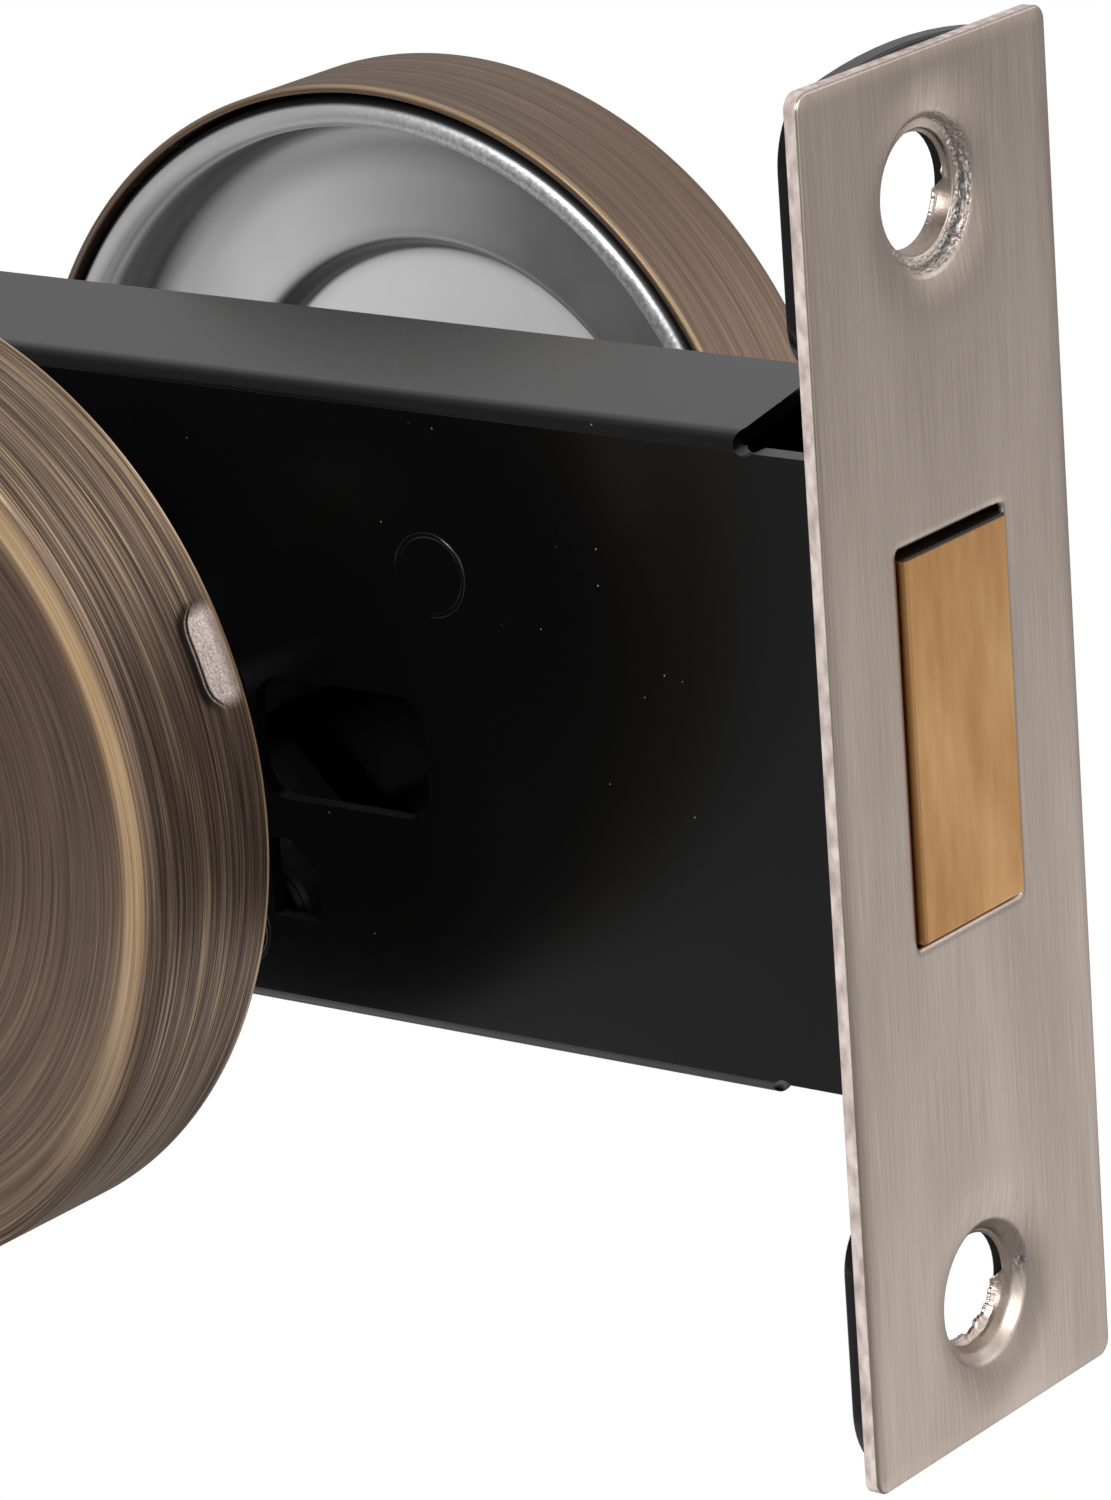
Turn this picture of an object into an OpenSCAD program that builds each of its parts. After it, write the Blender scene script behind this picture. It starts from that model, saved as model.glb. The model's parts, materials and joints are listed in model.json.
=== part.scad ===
// Mortice privacy bolt with a thumbturn rose and an indicator rose.
// X runs out of the faceplate along the bolt's throw, Y runs through the door and Z is up.
// The origin lies midway between the two forend screw holes, where the two forend plates meet.

/* [Forend] */
// Width of the faceplate, through the door
face_w = 25; // [24.6:0.1:27]
// Height of the faceplate
face_h = 82.8; // [82:0.2:95]
// Thickness of the faceplate
face_t = 1; // [0.8:0.1:1.5]
// Corner radius of the faceplate
face_corner_r = 1; // [0.5:0.1:2]
// Distance of a forend screw hole from the faceplate's end
screw_end = 8.3; // [7.6:0.1:9]
// Clearance radius of a forend screw hole
screw_r = 3.4; // [2.8:0.05:3.6]
// Radius of the screw head's countersink at the faceplate's front
sink_r = 4.4; // [4.2:0.1:5.2]
// Thickness of the inner forend plate
inner_t = 1.2; // [1:0.1:1.6]
// Width of the inner forend at its screw ears
ear_w = 23.6; // [23:0.1:24.4]
// Width of the inner forend between its ears
waist_w = 19; // [17.5:0.5:20]
// How far each crowned end of the inner forend stands past the faceplate
crown_over = 0.3; // [0:0.1:0.5]

/* [Case] */
// Backset, from the faceplate's front to the spindle
backset = 60; // [58:0.5:70]
// Length of the case behind the spindle
case_tail = 21; // [21:0.5:26]
// Height of the case
case_h = 40; // [39:0.5:46]
// Thickness of the case, through the door
case_t = 14.6; // [14.2:0.1:17]
// Thickness of the case's sheet steel
sheet = 1; // [0.8:0.1:1.2]
// Outer radius of the sheet's bends
bend_r = 1.4; // [1.3:0.1:2]
// Open length between the inner forend and the flanges' near corner
flange_gap = 7.1; // [6:0.1:9]
// How far the flange ends slant back across the case
flange_slant = 3.6; // [2:0.1:5]
// Radius of the staked pillar ends that show on the case
stake_r = 2.45; // [2:0.05:2.5]
// Radius of the case pillars between the two sides
pillar_r = 3.2; // [3:0.1:3.4]

/* [Bolt] */
// Thickness of the dead bolt, through the door
bolt_w = 10.5; // [9.5:0.1:11]
// Height of the dead bolt
bolt_h = 23.2; // [21:0.1:24]
// Height of the dead bolt's centre line over the spindle
bolt_z = 1.8; // [1.4:0.1:2]
// How far the withdrawn bolt stands in front of the faceplate
bolt_proud = 0.4; // [0.2:0.1:0.8]
// Throw of the dead bolt
throw = 13; // [12:0.5:13.5]
// Thickness of the bolt's tail plate
tail_t = 2.8; // [2.4:0.1:3]

/* [Turn] */
// Width across the flats of the square spindle
spindle_w = 5; // [4.5:0.5:5.5]
// Radius of the follower's cheeks
cheek_r = 7.2; // [7:0.1:7.4]
// Radius of the pin that drives the tail
drive_r = 2; // [1.8:0.1:2.1]

/* [Roses] */
// Thickness of the door between the two roses
door_t = 50; // [46:1:60]
// Offset of the door's middle from the case's middle
door_shift = -0.6; // [-1:0.1:1]
// Radius of a rose
rose_r = 29.4; // [28:0.1:32]
// Height of a rose's rim over the door
rose_h = 10.3; // [10.3:0.1:12]
// Radius of the rose's shoulder, up to its rim
shoulder_r = 2; // [1.5:0.1:2.5]
// How far the rose's flat front lies behind its rim
dish_d = 0.95; // [0.5:0.05:1]
// Thickness of the rose cap's brass sheet
cap_t = 0.5; // [0.4:0.05:0.6]
// Thickness of the rose cup's steel sheet
cup_t = 0.7; // [0.6:0.1:0.8]
// Depth of the cup's floor behind the door line
floor_depth = 6.6; // [5.8:0.1:6.8]
// Radius of the cup's middle boss
boss_r = 17; // [17:0.5:19]
// Radius of the cup's rolled rim
bead_r = 1; // [0.9:0.1:1.2]
// Width of the detent dimple round the cap's wall
dimple_w = 6.4; // [5:0.1:8]
// Height of the detent dimple along the cap's wall
dimple_h = 3.3; // [2:0.1:3.4]
// Land between the thumbturn's bush and a rose screw's countersink
screw_land = 1.4; // [1.2:0.1:2]
// Radius of the thumbturn
knob_r = 11; // [10:0.5:14]
// Height of the thumbturn over the rose
knob_h = 15; // [13:0.5:20]
// Radius of the indicator's bezel
bezel_r = 12.5; // [12:0.5:15]

/* [Hidden] */
$fn = 72;
eps = 0.01;
fit = 0.03;
slide = 0.3;
half_t = case_t / 2;
half_h = case_h / 2;
in_t = half_t - sheet;
in_h = half_h - sheet;
spindle_x = face_t - backset;
case_back = spindle_x - case_tail;
flange_x = -inner_t - flange_gap;
relief_r = 0.9;
near_y = door_shift - door_t / 2;
far_y = door_shift + door_t / 2;

screw_pitch = face_h - 2 * screw_end;
inner_h = face_h + 2 * crown_over;
ear_corner_r = 5;
ear_foot_r = 3.5;
ear_drop = 17;
tenon_h = 5;
tenon_inset = 3;
tenon_z = in_h - tenon_inset;
face_hole_r = screw_r;
bolt_gap_y = 0.2;
bolt_gap_z = 0.25;
bolt_edge = 0.15;

arm_r = throw / (2 * sin(45));
arm_end_r = drive_r + 1.2;
groove_half = tail_t / 2 + slide;
barrel_r = 5;
journal_r = 5.6;
journal_gap = 0.06;
spindle_gap = 0.05;
arm_t = 2.6;
prong_gap = 0.6;
prong_w = 3.5;
prong_z = barrel_r + 0.4;
flat_r = cheek_r - 0.3;

pillar_drop = 10.9;
low_pillar_rise = 4.8;
pillar_z = half_h - pillar_drop;
rear_pillar_dx = 16.3;
front_pillar = [-31, pillar_z];
rear_pillar = [spindle_x - rear_pillar_dx, pillar_z];
low_pillar_z = low_pillar_rise - half_h;
low_pillar_dx = 11;
pillars = [
    front_pillar,
    rear_pillar,
    [spindle_x + low_pillar_dx, low_pillar_z],
    [spindle_x - low_pillar_dx, low_pillar_z]
];
fork_top = arm_r + drive_r + 0.4;
bar_low = max(front_pillar[1] + pillar_r + slide, fork_top + 1);
bar_h = 0.56 * (in_h - slide - bar_low);
head_back = front_pillar[0] + pillar_r + slide;
head_front = face_t + bolt_proud;
web_len = 12;
web_low = -4;
bolt_rivet_r = 1.5;
rivet_inset = 4;
rest_pin = [spindle_x - throw / 2, throw / 2];

slot_x = [-45.1, -32.3];
slot_z = [-6.4, 1.3];
slot_r = 2;
window_x = [-44.9, -41.3];
window_z = [-14, -9];
window_cut = 2;

bush_r = 5.6;
post_r = 2.6;
post_gap = 0.3;
rose_screw_r = 2;
screw_gap = 0.3;
rose_screw_sink_r = 4;
bolt_pitch = 2 * (bush_r + rose_screw_sink_r + screw_land);
rose_screw_head = rose_screw_sink_r - rose_screw_r;
screw_short = 4;
front_h = rose_h - dish_d;
dish_slope = 0.9;
dish_r = rose_r - shoulder_r - dish_slope;
cup_wall_r = rose_r - cap_t - 0.35 - 2 * bead_r;
boss_depth = front_h - cap_t - cup_t;
dimple_d = 0.3;
dimple_reach = 6;
thread_left = 8;
nut_slot_w = 1.6;
dimple_depth = dimple_h / 2 + 0.4;
dimples_near = [19.6, 139.6, 259.6];
dimples_far = [8, 128, 248];

shaft_r = 4.6;
shaft_gap = 0.05;
bush_flange_r = 6;
bush_flange = 0.8;
clip_t = 0.8;
clip_r = 5.9;
clip_mouth = 3.2;
groove_d = 0.4;
groove_gap = 0.04;
knob_base = 3;
grip_w = 6;
scoop_r = 14;
knob_gap = 0.3;
socket_over = 2;
grub_r = 1.5;
grub_len = 5;

bezel_h = 4;
bezel_wall = 1.2;
bezel_face = 1;
nut_t = 2;
nut_r = bolt_pitch / 2 - post_r - 0.5;
neck_r = nut_r - 0.7;
lens_t = 0.8;
disc_t = 0.8;
window_in = 6;
window_out = 10;
coin_r = 4.4;
coin_gap = 0.1;
coin_slot_w = 1.6;
coin_slot_d = 1.5;

brass_old = [0.46, 0.38, 0.26];
brass_bolt = [0.69, 0.53, 0.35];
nickel = [0.66, 0.61, 0.57];
black_paint = [0.03, 0.03, 0.03];
steel = [0.62, 0.62, 0.63];
zinc = [0.7, 0.7, 0.72];

// A cylinder along X from x0 to x1
module bar_x(r, x0, x1) {
    translate([x0, 0, 0])
        rotate([0, 90, 0])
            cylinder(r = r, h = x1 - x0);
}

// A cylinder along Y from y0 to y1
module bar_y(r, y0, y1) {
    translate([0, y0, 0])
        rotate([-90, 0, 0])
            cylinder(r = r, h = y1 - y0);
}

// A flat shape drawn in X and Z, as thick as y0 to y1
module plate_y(y0, y1) {
    translate([0, y1, 0])
        rotate([90, 0, 0])
            linear_extrude(y1 - y0)
                children();
}

// A flat shape drawn in Y and Z, as thick as x0 to x1
module plate_x(x0, x1) {
    translate([x0, 0, 0])
        rotate([90, 0, 90])
            linear_extrude(x1 - x0)
                children();
}

// A rectangle with round corners, centred
module round_rect(w, h, r) {
    square([w - 2 * r, h], center = true);
    square([w, h - 2 * r], center = true);
    for (a = [-1, 1], b = [-1, 1])
        translate([a * (w / 2 - r), b * (h / 2 - r)])
            circle(r);
}

// A long hole with round ends, centred, along the first axis
module stadium(w, h) {
    square([w - h, h], center = true);
    for (a = [-1, 1])
        translate([a * (w - h) / 2, 0])
            circle(h / 2);
}

// A square from the axis out, with its far corner rounded
module round_step(w, h, r) {
    square([w - r, h]);
    square([w, h - r]);
    translate([w - r, h - r])
        circle(r);
}

// The rose frame: Z grows away from the door, from the door's face
module on_rose(side) {
    translate([spindle_x, side > 0 ? far_y : near_y, 0])
        rotate([side > 0 ? -90 : 90, 0, 0])
            children();
}

// The two forend screw places
module at_screws() {
    for (s = [-1, 1])
        translate([0, 0, s * screw_pitch / 2])
            children();
}

// The aperture that the bolt slides through
module bolt_aperture(extra) {
    translate([0, bolt_z])
        square([bolt_w + 2 * (bolt_gap_y + extra), bolt_h + 2 * (bolt_gap_z + extra)], center = true);
}

// Stamped faceplate with formed countersinks
module faceplate() {
    color(nickel)
        difference() {
            plate_x(0, face_t)
                difference() {
                    round_rect(face_w, face_h, face_corner_r);
                    bolt_aperture(0);
                }
            at_screws()
                rotate([0, 90, 0])
                    cylinder(r1 = face_hole_r, r2 = sink_r, h = face_t);
        }
}

// Outline of the inner forend: two ears and a narrower waist
module inner_outline() {
    square([waist_w, inner_h - 2 * ear_drop + 2 * ear_foot_r], center = true);
    intersection() {
        circle(inner_h / 2, $fn = 144);
        for (s = [0, 1])
            mirror([0, s])
                translate([0, inner_h / 2 - ear_drop])
                    ear_outline();
    }
}

// One screw ear, from its narrow foot up
module ear_outline() {
    translate([-ear_w / 2, ear_foot_r])
        square([ear_w, ear_drop - ear_foot_r - ear_corner_r]);
    translate([-ear_w / 2 + ear_foot_r, 0])
        square([ear_w - 2 * ear_foot_r, ear_drop]);
    for (s = [-1, 1]) {
        translate([s * (ear_w / 2 - ear_foot_r), ear_foot_r])
            circle(ear_foot_r);
        translate([s * (ear_w / 2 - ear_corner_r), ear_drop - ear_corner_r])
            circle(ear_corner_r);
    }
}

// Painted inner forend, with slots for the tenons of both case sides
module inner_forend() {
    color(black_paint)
        difference() {
            plate_x(-inner_t, 0)
                difference() {
                    inner_outline();
                    bolt_aperture(0.2);
                    for (a = [-1, 1], b = [-1, 1])
                        translate([a * (half_t - sheet / 2), b * tenon_z])
                            square([sheet + 2 * fit, tenon_h + 2 * fit], center = true);
                }
            at_screws()
                bar_x(screw_r, -inner_t - eps, eps);
        }
}

// Tongue and tenons that carry a side plate to the inner forend, in X and Z
module side_outline(x_back, half) {
    translate([x_back, -half])
        square([-inner_t - x_back, 2 * half]);
    for (s = [-1, 1])
        translate([-inner_t - eps, s * tenon_z - tenon_h / 2])
            square([inner_t + eps, tenon_h]);
}

// Holes that both side plates share: the follower's bearing and the pillar ends
module side_holes() {
    translate([spindle_x, 0])
        circle(journal_r + journal_gap);
    for (p = pillars)
        translate(p)
            circle(stake_r + fit);
}

// Outline of the access slot in the near side
module slot_outline() {
    translate([(slot_x[0] + slot_x[1]) / 2, (slot_z[0] + slot_z[1]) / 2])
        round_rect(slot_x[1] - slot_x[0], slot_z[1] - slot_z[0], slot_r);
}

// Outline of the small window below the slot, with one cut corner
module window_outline() {
    polygon([
        [window_x[0], window_z[0]],
        [window_x[1], window_z[0]],
        [window_x[1], window_z[1] - window_cut],
        [window_x[1] - window_cut, window_z[1]],
        [window_x[0], window_z[1]]
    ]);
}

// Section of the folded tray in Y and Z: near side and both flanges
module tray_section() {
    difference() {
        union() {
            translate([-half_t, -half_h + bend_r])
                square([case_t, case_h - 2 * bend_r]);
            translate([-half_t + bend_r, -half_h])
                square([case_t - bend_r, case_h]);
            for (s = [-1, 1])
                translate([-half_t + bend_r, s * (half_h - bend_r)])
                    circle(bend_r);
        }
        union() {
            translate([-in_t, -half_h + bend_r])
                square([case_t, case_h - 2 * bend_r]);
            translate([-half_t + bend_r, -in_h])
                square([case_t, 2 * in_h]);
            for (s = [-1, 1])
                translate([-half_t + bend_r, s * (half_h - bend_r)])
                    circle(bend_r - sheet);
        }
    }
}

// The slanted cut that ends both flanges before the forend, seen from above
module flange_cut() {
    for (s = [-1, 1])
        translate([0, 0, s > 0 ? in_h : -half_h - 1])
            linear_extrude(sheet + 1)
                polygon([
                    [flange_x + flange_slant / case_t, -half_t - 1],
                    [1, -half_t - 1],
                    [1, half_t + 1],
                    [flange_x - flange_slant * (case_t + 1) / case_t, half_t + 1]
                ]);
}

// The back wall and its bend, seen from above
module back_outline() {
    translate([case_back, -half_t + bend_r])
        square([sheet, case_t - bend_r]);
    translate([case_back + bend_r, -half_t + bend_r])
        intersection() {
            difference() {
                circle(bend_r);
                circle(bend_r - sheet);
            }
            translate([-bend_r, -bend_r])
                square(bend_r + eps);
        }
}

// Folded case: near side, top and bottom flanges and the back wall
module case_body() {
    back_half = in_h - 0.6;
    color(black_paint)
        difference() {
            union() {
                difference() {
                    plate_x(case_back, -inner_t)
                        tray_section();
                    translate([case_back - 1, -half_t - 1, -back_half - 0.2])
                        cube([bend_r + 1, case_t, 2 * back_half + 0.4]);
                }
                plate_y(-half_t, -in_t)
                    side_outline(spindle_x, in_h);
                translate([0, 0, -back_half])
                    linear_extrude(2 * back_half)
                        back_outline();
            }
            flange_cut();
            for (s = [-1, 1])
                translate([flange_x + relief_r / 2, 0, s * (in_h + relief_r * 0.75)])
                    bar_y(relief_r, -half_t - 1, -in_t + 1);
            plate_y(-half_t - eps, -in_t + eps) {
                side_holes();
                slot_outline();
                window_outline();
                for (s = [-1, 1])
                    translate([spindle_x + s * bolt_pitch / 2, 0])
                        circle(rose_screw_r + screw_gap);
            }
        }
}

// Flat far side of the case, staked to the pillars
module case_cover() {
    color(black_paint)
        plate_y(in_t, half_t)
            difference() {
                side_outline(case_back + sheet + 0.1, in_h - 0.1);
                side_holes();
                for (s = [-1, 1])
                    translate([spindle_x + s * bolt_pitch / 2, 0])
                        circle(post_r + post_gap);
            }
}

// Pillars that hold the two sides apart, each with a staked end through either side
module case_pillars() {
    color(black_paint)
        for (p = pillars)
            translate([p[0], 0, p[1]]) {
                bar_y(pillar_r, -in_t, in_t);
                bar_y(stake_r, -half_t, half_t);
            }
}

// Brass head of the dead bolt, slotted for its tail
module bolt_head() {
    color(brass_bolt)
        difference() {
            translate([0, 0, bolt_z])
                intersection() {
                    plate_x(head_back, head_front)
                        square([bolt_w, bolt_h], center = true);
                    plate_y(-bolt_w, bolt_w)
                        polygon([
                            [head_back, -bolt_h / 2],
                            [head_front - bolt_edge, -bolt_h / 2],
                            [head_front, -bolt_h / 2 + bolt_edge],
                            [head_front, bolt_h / 2 - bolt_edge],
                            [head_front - bolt_edge, bolt_h / 2],
                            [head_back, bolt_h / 2]
                        ]);
                    translate([0, 0, -bolt_h])
                        linear_extrude(2 * bolt_h)
                            polygon([
                                [head_back, -bolt_w / 2],
                                [head_front - bolt_edge, -bolt_w / 2],
                                [head_front, -bolt_w / 2 + bolt_edge],
                                [head_front, bolt_w / 2 - bolt_edge],
                                [head_front - bolt_edge, bolt_w / 2],
                                [head_back, bolt_w / 2]
                            ]);
                }
            plate_y(-tail_t / 2 - fit, tail_t / 2 + fit)
                translate([head_back - 1, web_low - fit])
                    square([web_len + 1 + fit, bolt_h]);
            at_bolt_rivets()
                bar_y(bolt_rivet_r + fit, -bolt_w, bolt_w);
        }
}

// The two rivets that join the head and the tail
module at_bolt_rivets() {
    for (z = [web_low + rivet_inset, bolt_z + bolt_h / 2 - rivet_inset])
        translate([head_back + web_len / 2, 0, z])
            children();
}

// Steel tail plate: a web in the head, a bar over the front pillar and an open fork
module bolt_tail() {
    pin_x = rest_pin[0];
    open_half = drive_r + prong_gap;
    bar_top = bar_low + bar_h;
    color(zinc)
        difference() {
            plate_y(-tail_t / 2, tail_t / 2)
                difference() {
                    union() {
                        translate([pin_x - open_half - prong_w, bar_low])
                            square([head_back + web_len - pin_x + open_half + prong_w, bar_h]);
                        translate([head_back, web_low])
                            square([web_len, bar_top - web_low]);
                        translate([pin_x - open_half - prong_w, prong_z])
                            square([2 * (open_half + prong_w), bar_low - prong_z + eps]);
                    }
                    translate([pin_x - open_half, prong_z - 1])
                        square([2 * open_half, fork_top - prong_z + 1]);
                }
            at_bolt_rivets()
                bar_y(bolt_rivet_r + fit, -tail_t, tail_t);
        }
}

// Rivets through the head and the tail, flush with the head's sides
module bolt_rivets() {
    color(zinc)
        at_bolt_rivets()
            bar_y(bolt_rivet_r, -bolt_w / 2, bolt_w / 2);
}

// One cheek of the follower with its arm, in X and Z about the spindle
module cheek_outline() {
    difference() {
        circle(cheek_r);
        translate([flat_r, -cheek_r])
            square(2 * cheek_r);
        translate([-cheek_r, -flat_r - 2 * cheek_r])
            square(2 * cheek_r);
    }
}

// The arm of a cheek, from the spindle to the drive pin at rest
module arm_outline() {
    rotate(45) {
        translate([-arm_end_r, 0])
            square([2 * arm_end_r, arm_r]);
        translate([0, arm_r])
            circle(arm_end_r);
    }
}

// Follower: two cheeks with arms, a thin barrel between them and a journal at each end
module follower() {
    color(zinc)
        translate([spindle_x, 0, 0])
            difference() {
                union() {
                    bar_y(journal_r, -half_t + 0.1, half_t - 0.1);
                    for (s = [0, 1])
                        mirror([0, s, 0]) {
                            plate_y(groove_half, in_t - slide)
                                cheek_outline();
                            plate_y(groove_half, groove_half + arm_t)
                                arm_outline();
                        }
                }
                difference() {
                    bar_y(journal_r + 1, -groove_half, groove_half);
                    bar_y(barrel_r, -groove_half - 1, groove_half + 1);
                }
                plate_y(-half_t, half_t)
                    square(spindle_w + 2 * spindle_gap, center = true);
                translate([-throw / 2, 0, throw / 2])
                    bar_y(drive_r + fit, -half_t, half_t);
            }
}

// Hardened pin across both arms
module drive_pin() {
    color(steel)
        translate([rest_pin[0], 0, rest_pin[1]])
            bar_y(drive_r, -groove_half - arm_t, groove_half + arm_t);
}

// Points of an arc about a centre, from one angle to another
function arc(centre, r, from, to, steps) = [
    for (i = [0 : steps])
        centre + r * [cos(from + (to - from) * i / steps), sin(from + (to - from) * i / steps)]
];

// Bowed strip under the follower, with a curled foot over each lower pillar
module detent_spring() {
    spring_t = 0.5;
    spring_w = 9;
    half_top = 7;
    top_z = -cheek_r - slide;
    foot_r = pillar_r + 0.05;
    right = [low_pillar_dx, low_pillar_z];
    left = [-low_pillar_dx, low_pillar_z];
    color(steel)
        translate([spindle_x, 0, 0])
            plate_y(-spring_w / 2, spring_w / 2)
                polygon(concat(
                    [[-half_top, top_z], [half_top, top_z]],
                    arc(right, foot_r + spring_t, 90, 0, 12),
                    arc(right, foot_r, 0, 90, 12),
                    [[half_top, top_z - spring_t], [-half_top, top_z - spring_t]],
                    arc(left, foot_r, 90, 180, 12),
                    arc(left, foot_r + spring_t, 180, 90, 12)
                ));
}

// Square spindle from the thumbturn through the follower to the release
module spindle() {
    spindle_near = near_y - front_h - knob_gap - knob_base - socket_over + 0.5;
    spindle_far = far_y + front_h - 1.5;
    color(steel)
        translate([spindle_x, 0, 0])
            plate_y(spindle_near, spindle_far)
                square(spindle_w, center = true);
}

// A dimple's prism through a rose wall, at an angle round the rose
module dimple_prism(angle, grow) {
    rotate([0, 0, angle])
        translate([rose_r - dimple_reach / 2, 0, dimple_depth])
            rotate([90, 0, 90])
                linear_extrude(dimple_reach)
                    stadium(dimple_w + 2 * grow, dimple_h + 2 * grow);
}

// Half section of the cap's skin, a given depth inside its outer face
module cap_solid(depth) {
    r = rose_r - depth;
    h = rose_h - depth;
    difference() {
        round_step(r, h, shoulder_r - depth);
        polygon([
            [-1, h - dish_d],
            [dish_r - depth / 2, h - dish_d],
            [dish_r - depth / 2 + dish_slope, h],
            [dish_r - depth / 2 + dish_slope, h + 1],
            [-1, h + 1]
        ]);
    }
}

// Drawn brass cap: wall, shoulder up to a rim, shallow dish and pressed detent dimples
module rose_cap(side, hole_r, angles) {
    color(brass_old)
        on_rose(side)
            difference() {
                union() {
                    rotate_extrude($fn = 144)
                        difference() {
                            cap_solid(0);
                            cap_solid(cap_t);
                            square([hole_r, rose_h + 1]);
                        }
                    for (a = angles)
                        intersection() {
                            dimple_prism(a, 0.3);
                            difference() {
                                cylinder(r = rose_r - cap_t + 0.05, h = rose_h / 2, $fn = 144);
                                translate([0, 0, -1])
                                    cylinder(r = rose_r - cap_t - dimple_d, h = rose_h, $fn = 144);
                            }
                        }
                }
                for (a = angles)
                    intersection() {
                        dimple_prism(a, 0);
                        difference() {
                            cylinder(r = rose_r + 1, h = rose_h / 2, $fn = 144);
                            translate([0, 0, -1])
                                cylinder(r = rose_r - dimple_d, h = rose_h, $fn = 144);
                        }
                    }
            }
}

// Section of the pressed steel cup: rolled rim, wall, floor and middle boss
module cup_section(hole_r) {
    rim_r = cup_wall_r + bead_r;
    round_edge = 0.6;
    difference() {
        union() {
            round_step(cup_wall_r + cup_t, floor_depth + cup_t, 2);
            square([boss_r + cup_t, boss_depth + cup_t]);
        }
        round_step(cup_wall_r, floor_depth, 1.2);
        round_step(boss_r, boss_depth, 0.8);
        difference() {
            translate([boss_r - eps, floor_depth - eps])
                square(round_edge + eps);
            translate([boss_r + round_edge, floor_depth + round_edge])
                circle(round_edge);
        }
        square([hole_r, rose_h]);
        square([rim_r, bead_r]);
    }
    translate([rim_r, bead_r])
        circle(bead_r);
}

// Steel cup that holds the cap, with the fixings' places
module rose_cup(side, hole_r) {
    color(steel)
        on_rose(side)
            difference() {
                union() {
                    rotate_extrude($fn = 144)
                        cup_section(hole_r);
                    if (side < 0)
                        at_rose_bolts()
                            translate([0, 0, boss_depth + cup_t - rose_screw_head - cup_t])
                                cylinder(r1 = rose_screw_r + cup_t, r2 = rose_screw_sink_r + cup_t,
                                         h = rose_screw_head + cup_t - eps);
                }
                at_rose_bolts() {
                    if (side < 0) {
                        cylinder(r = rose_screw_r + 0.12, h = rose_h);
                        translate([0, 0, boss_depth + cup_t - rose_screw_head])
                            cylinder(r1 = rose_screw_r + 0.12, r2 = rose_screw_sink_r + 0.12,
                                     h = rose_screw_head + eps);
                    } else {
                        cylinder(r = post_r - 0.6 + fit, h = rose_h);
                    }
                }
            }
}

// The two through-screw places of a rose
module at_rose_bolts() {
    for (s = [-1, 1])
        translate([s * bolt_pitch / 2, 0, 0])
            children();
}

// Threaded posts riveted into the far cup and passing through the case
module rose_posts() {
    post_front = far_y + boss_depth;
    color(zinc)
        for (s = [-1, 1])
            translate([spindle_x + s * bolt_pitch / 2, 0, 0])
                difference() {
                    union() {
                        bar_y(post_r, -in_t + slide, post_front);
                        bar_y(post_r - 0.6, post_front - 1, post_front + cup_t);
                    }
                    bar_y(rose_screw_r + 0.05, -in_t, post_front - thread_left);
                }
}

// Countersunk screws from the near cup into the posts
module rose_screws() {
    head_y = near_y - boss_depth - cup_t + 0.05;
    color(zinc)
        for (s = [-1, 1])
            translate([spindle_x + s * bolt_pitch / 2, 0, 0])
                difference() {
                    union() {
                        translate([0, head_y, 0])
                            rotate([-90, 0, 0])
                                cylinder(r1 = rose_screw_sink_r, r2 = rose_screw_r, h = rose_screw_head);
                        bar_y(rose_screw_r, head_y + rose_screw_head - eps, far_y - screw_short);
                    }
                    translate([0, head_y - eps, 0])
                        plate_y(0, 1)
                            square([2 * rose_screw_sink_r + 1, 1], center = true);
                }
}

// Height in the near rose's frame of the shaft's back end
function shaft_back() = boss_depth - bush_flange - clip_t - 1.2;

// Thumbturn: base, scooped grip, and a hollow shaft that takes the spindle
module turn_knob() {
    foot = front_h + knob_gap;
    color(brass_old)
        on_rose(-1)
            difference() {
                union() {
                    translate([0, 0, foot])
                        rotate_extrude()
                            round_step(knob_r, knob_h - knob_gap, 1.5);
                    translate([0, 0, shaft_back()])
                        cylinder(r = shaft_r, h = foot - shaft_back() + eps);
                }
                for (s = [-1, 1])
                    translate([s * (grip_w / 2 + scoop_r), -knob_r - 1, foot + knob_base + scoop_r])
                        rotate([-90, 0, 0]) {
                            cylinder(r = scoop_r, h = 2 * knob_r + 2, $fn = 96);
                            translate([s > 0 ? 0 : -2 * scoop_r, -2 * scoop_r, 0])
                                cube([2 * scoop_r, 2 * scoop_r, 2 * knob_r + 2]);
                            translate([-scoop_r, -2 * scoop_r, 0])
                                cube([2 * scoop_r, 2 * scoop_r, 2 * knob_r + 2]);
                        }
                translate([0, 0, shaft_back() - 1])
                    linear_extrude(foot + knob_base + socket_over - shaft_back() + 1)
                        square(spindle_w + 2 * spindle_gap, center = true);
                difference() {
                    translate([0, 0, boss_depth - bush_flange - clip_t - 2 * groove_gap])
                        cylinder(r = shaft_r + 1, h = clip_t + 2 * groove_gap);
                    cylinder(r = shaft_r - groove_d, h = rose_h);
                }
                translate([0, 0, foot + knob_base / 2])
                    rotate([90, 0, 0])
                        cylinder(r = grub_r + fit, h = knob_r + 1);
            }
}

// Nylon bush that carries the thumbturn's shaft in the near cup
module turn_bush() {
    color("ivory")
        on_rose(-1)
            difference() {
                union() {
                    translate([0, 0, boss_depth - bush_flange])
                        cylinder(r = bush_flange_r, h = bush_flange);
                    translate([0, 0, boss_depth - bush_flange])
                        cylinder(r = bush_r - fit, h = bush_flange + cup_t);
                }
                cylinder(r = shaft_r + shaft_gap, h = rose_h);
            }
}

// Open retaining ring, flat in the rose's frame
module open_ring(in_r, out_r, t) {
    linear_extrude(t)
        difference() {
            circle(out_r);
            circle(in_r);
            translate([-clip_mouth / 2, -out_r - 1])
                square([clip_mouth, out_r + 1]);
        }
}

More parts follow.
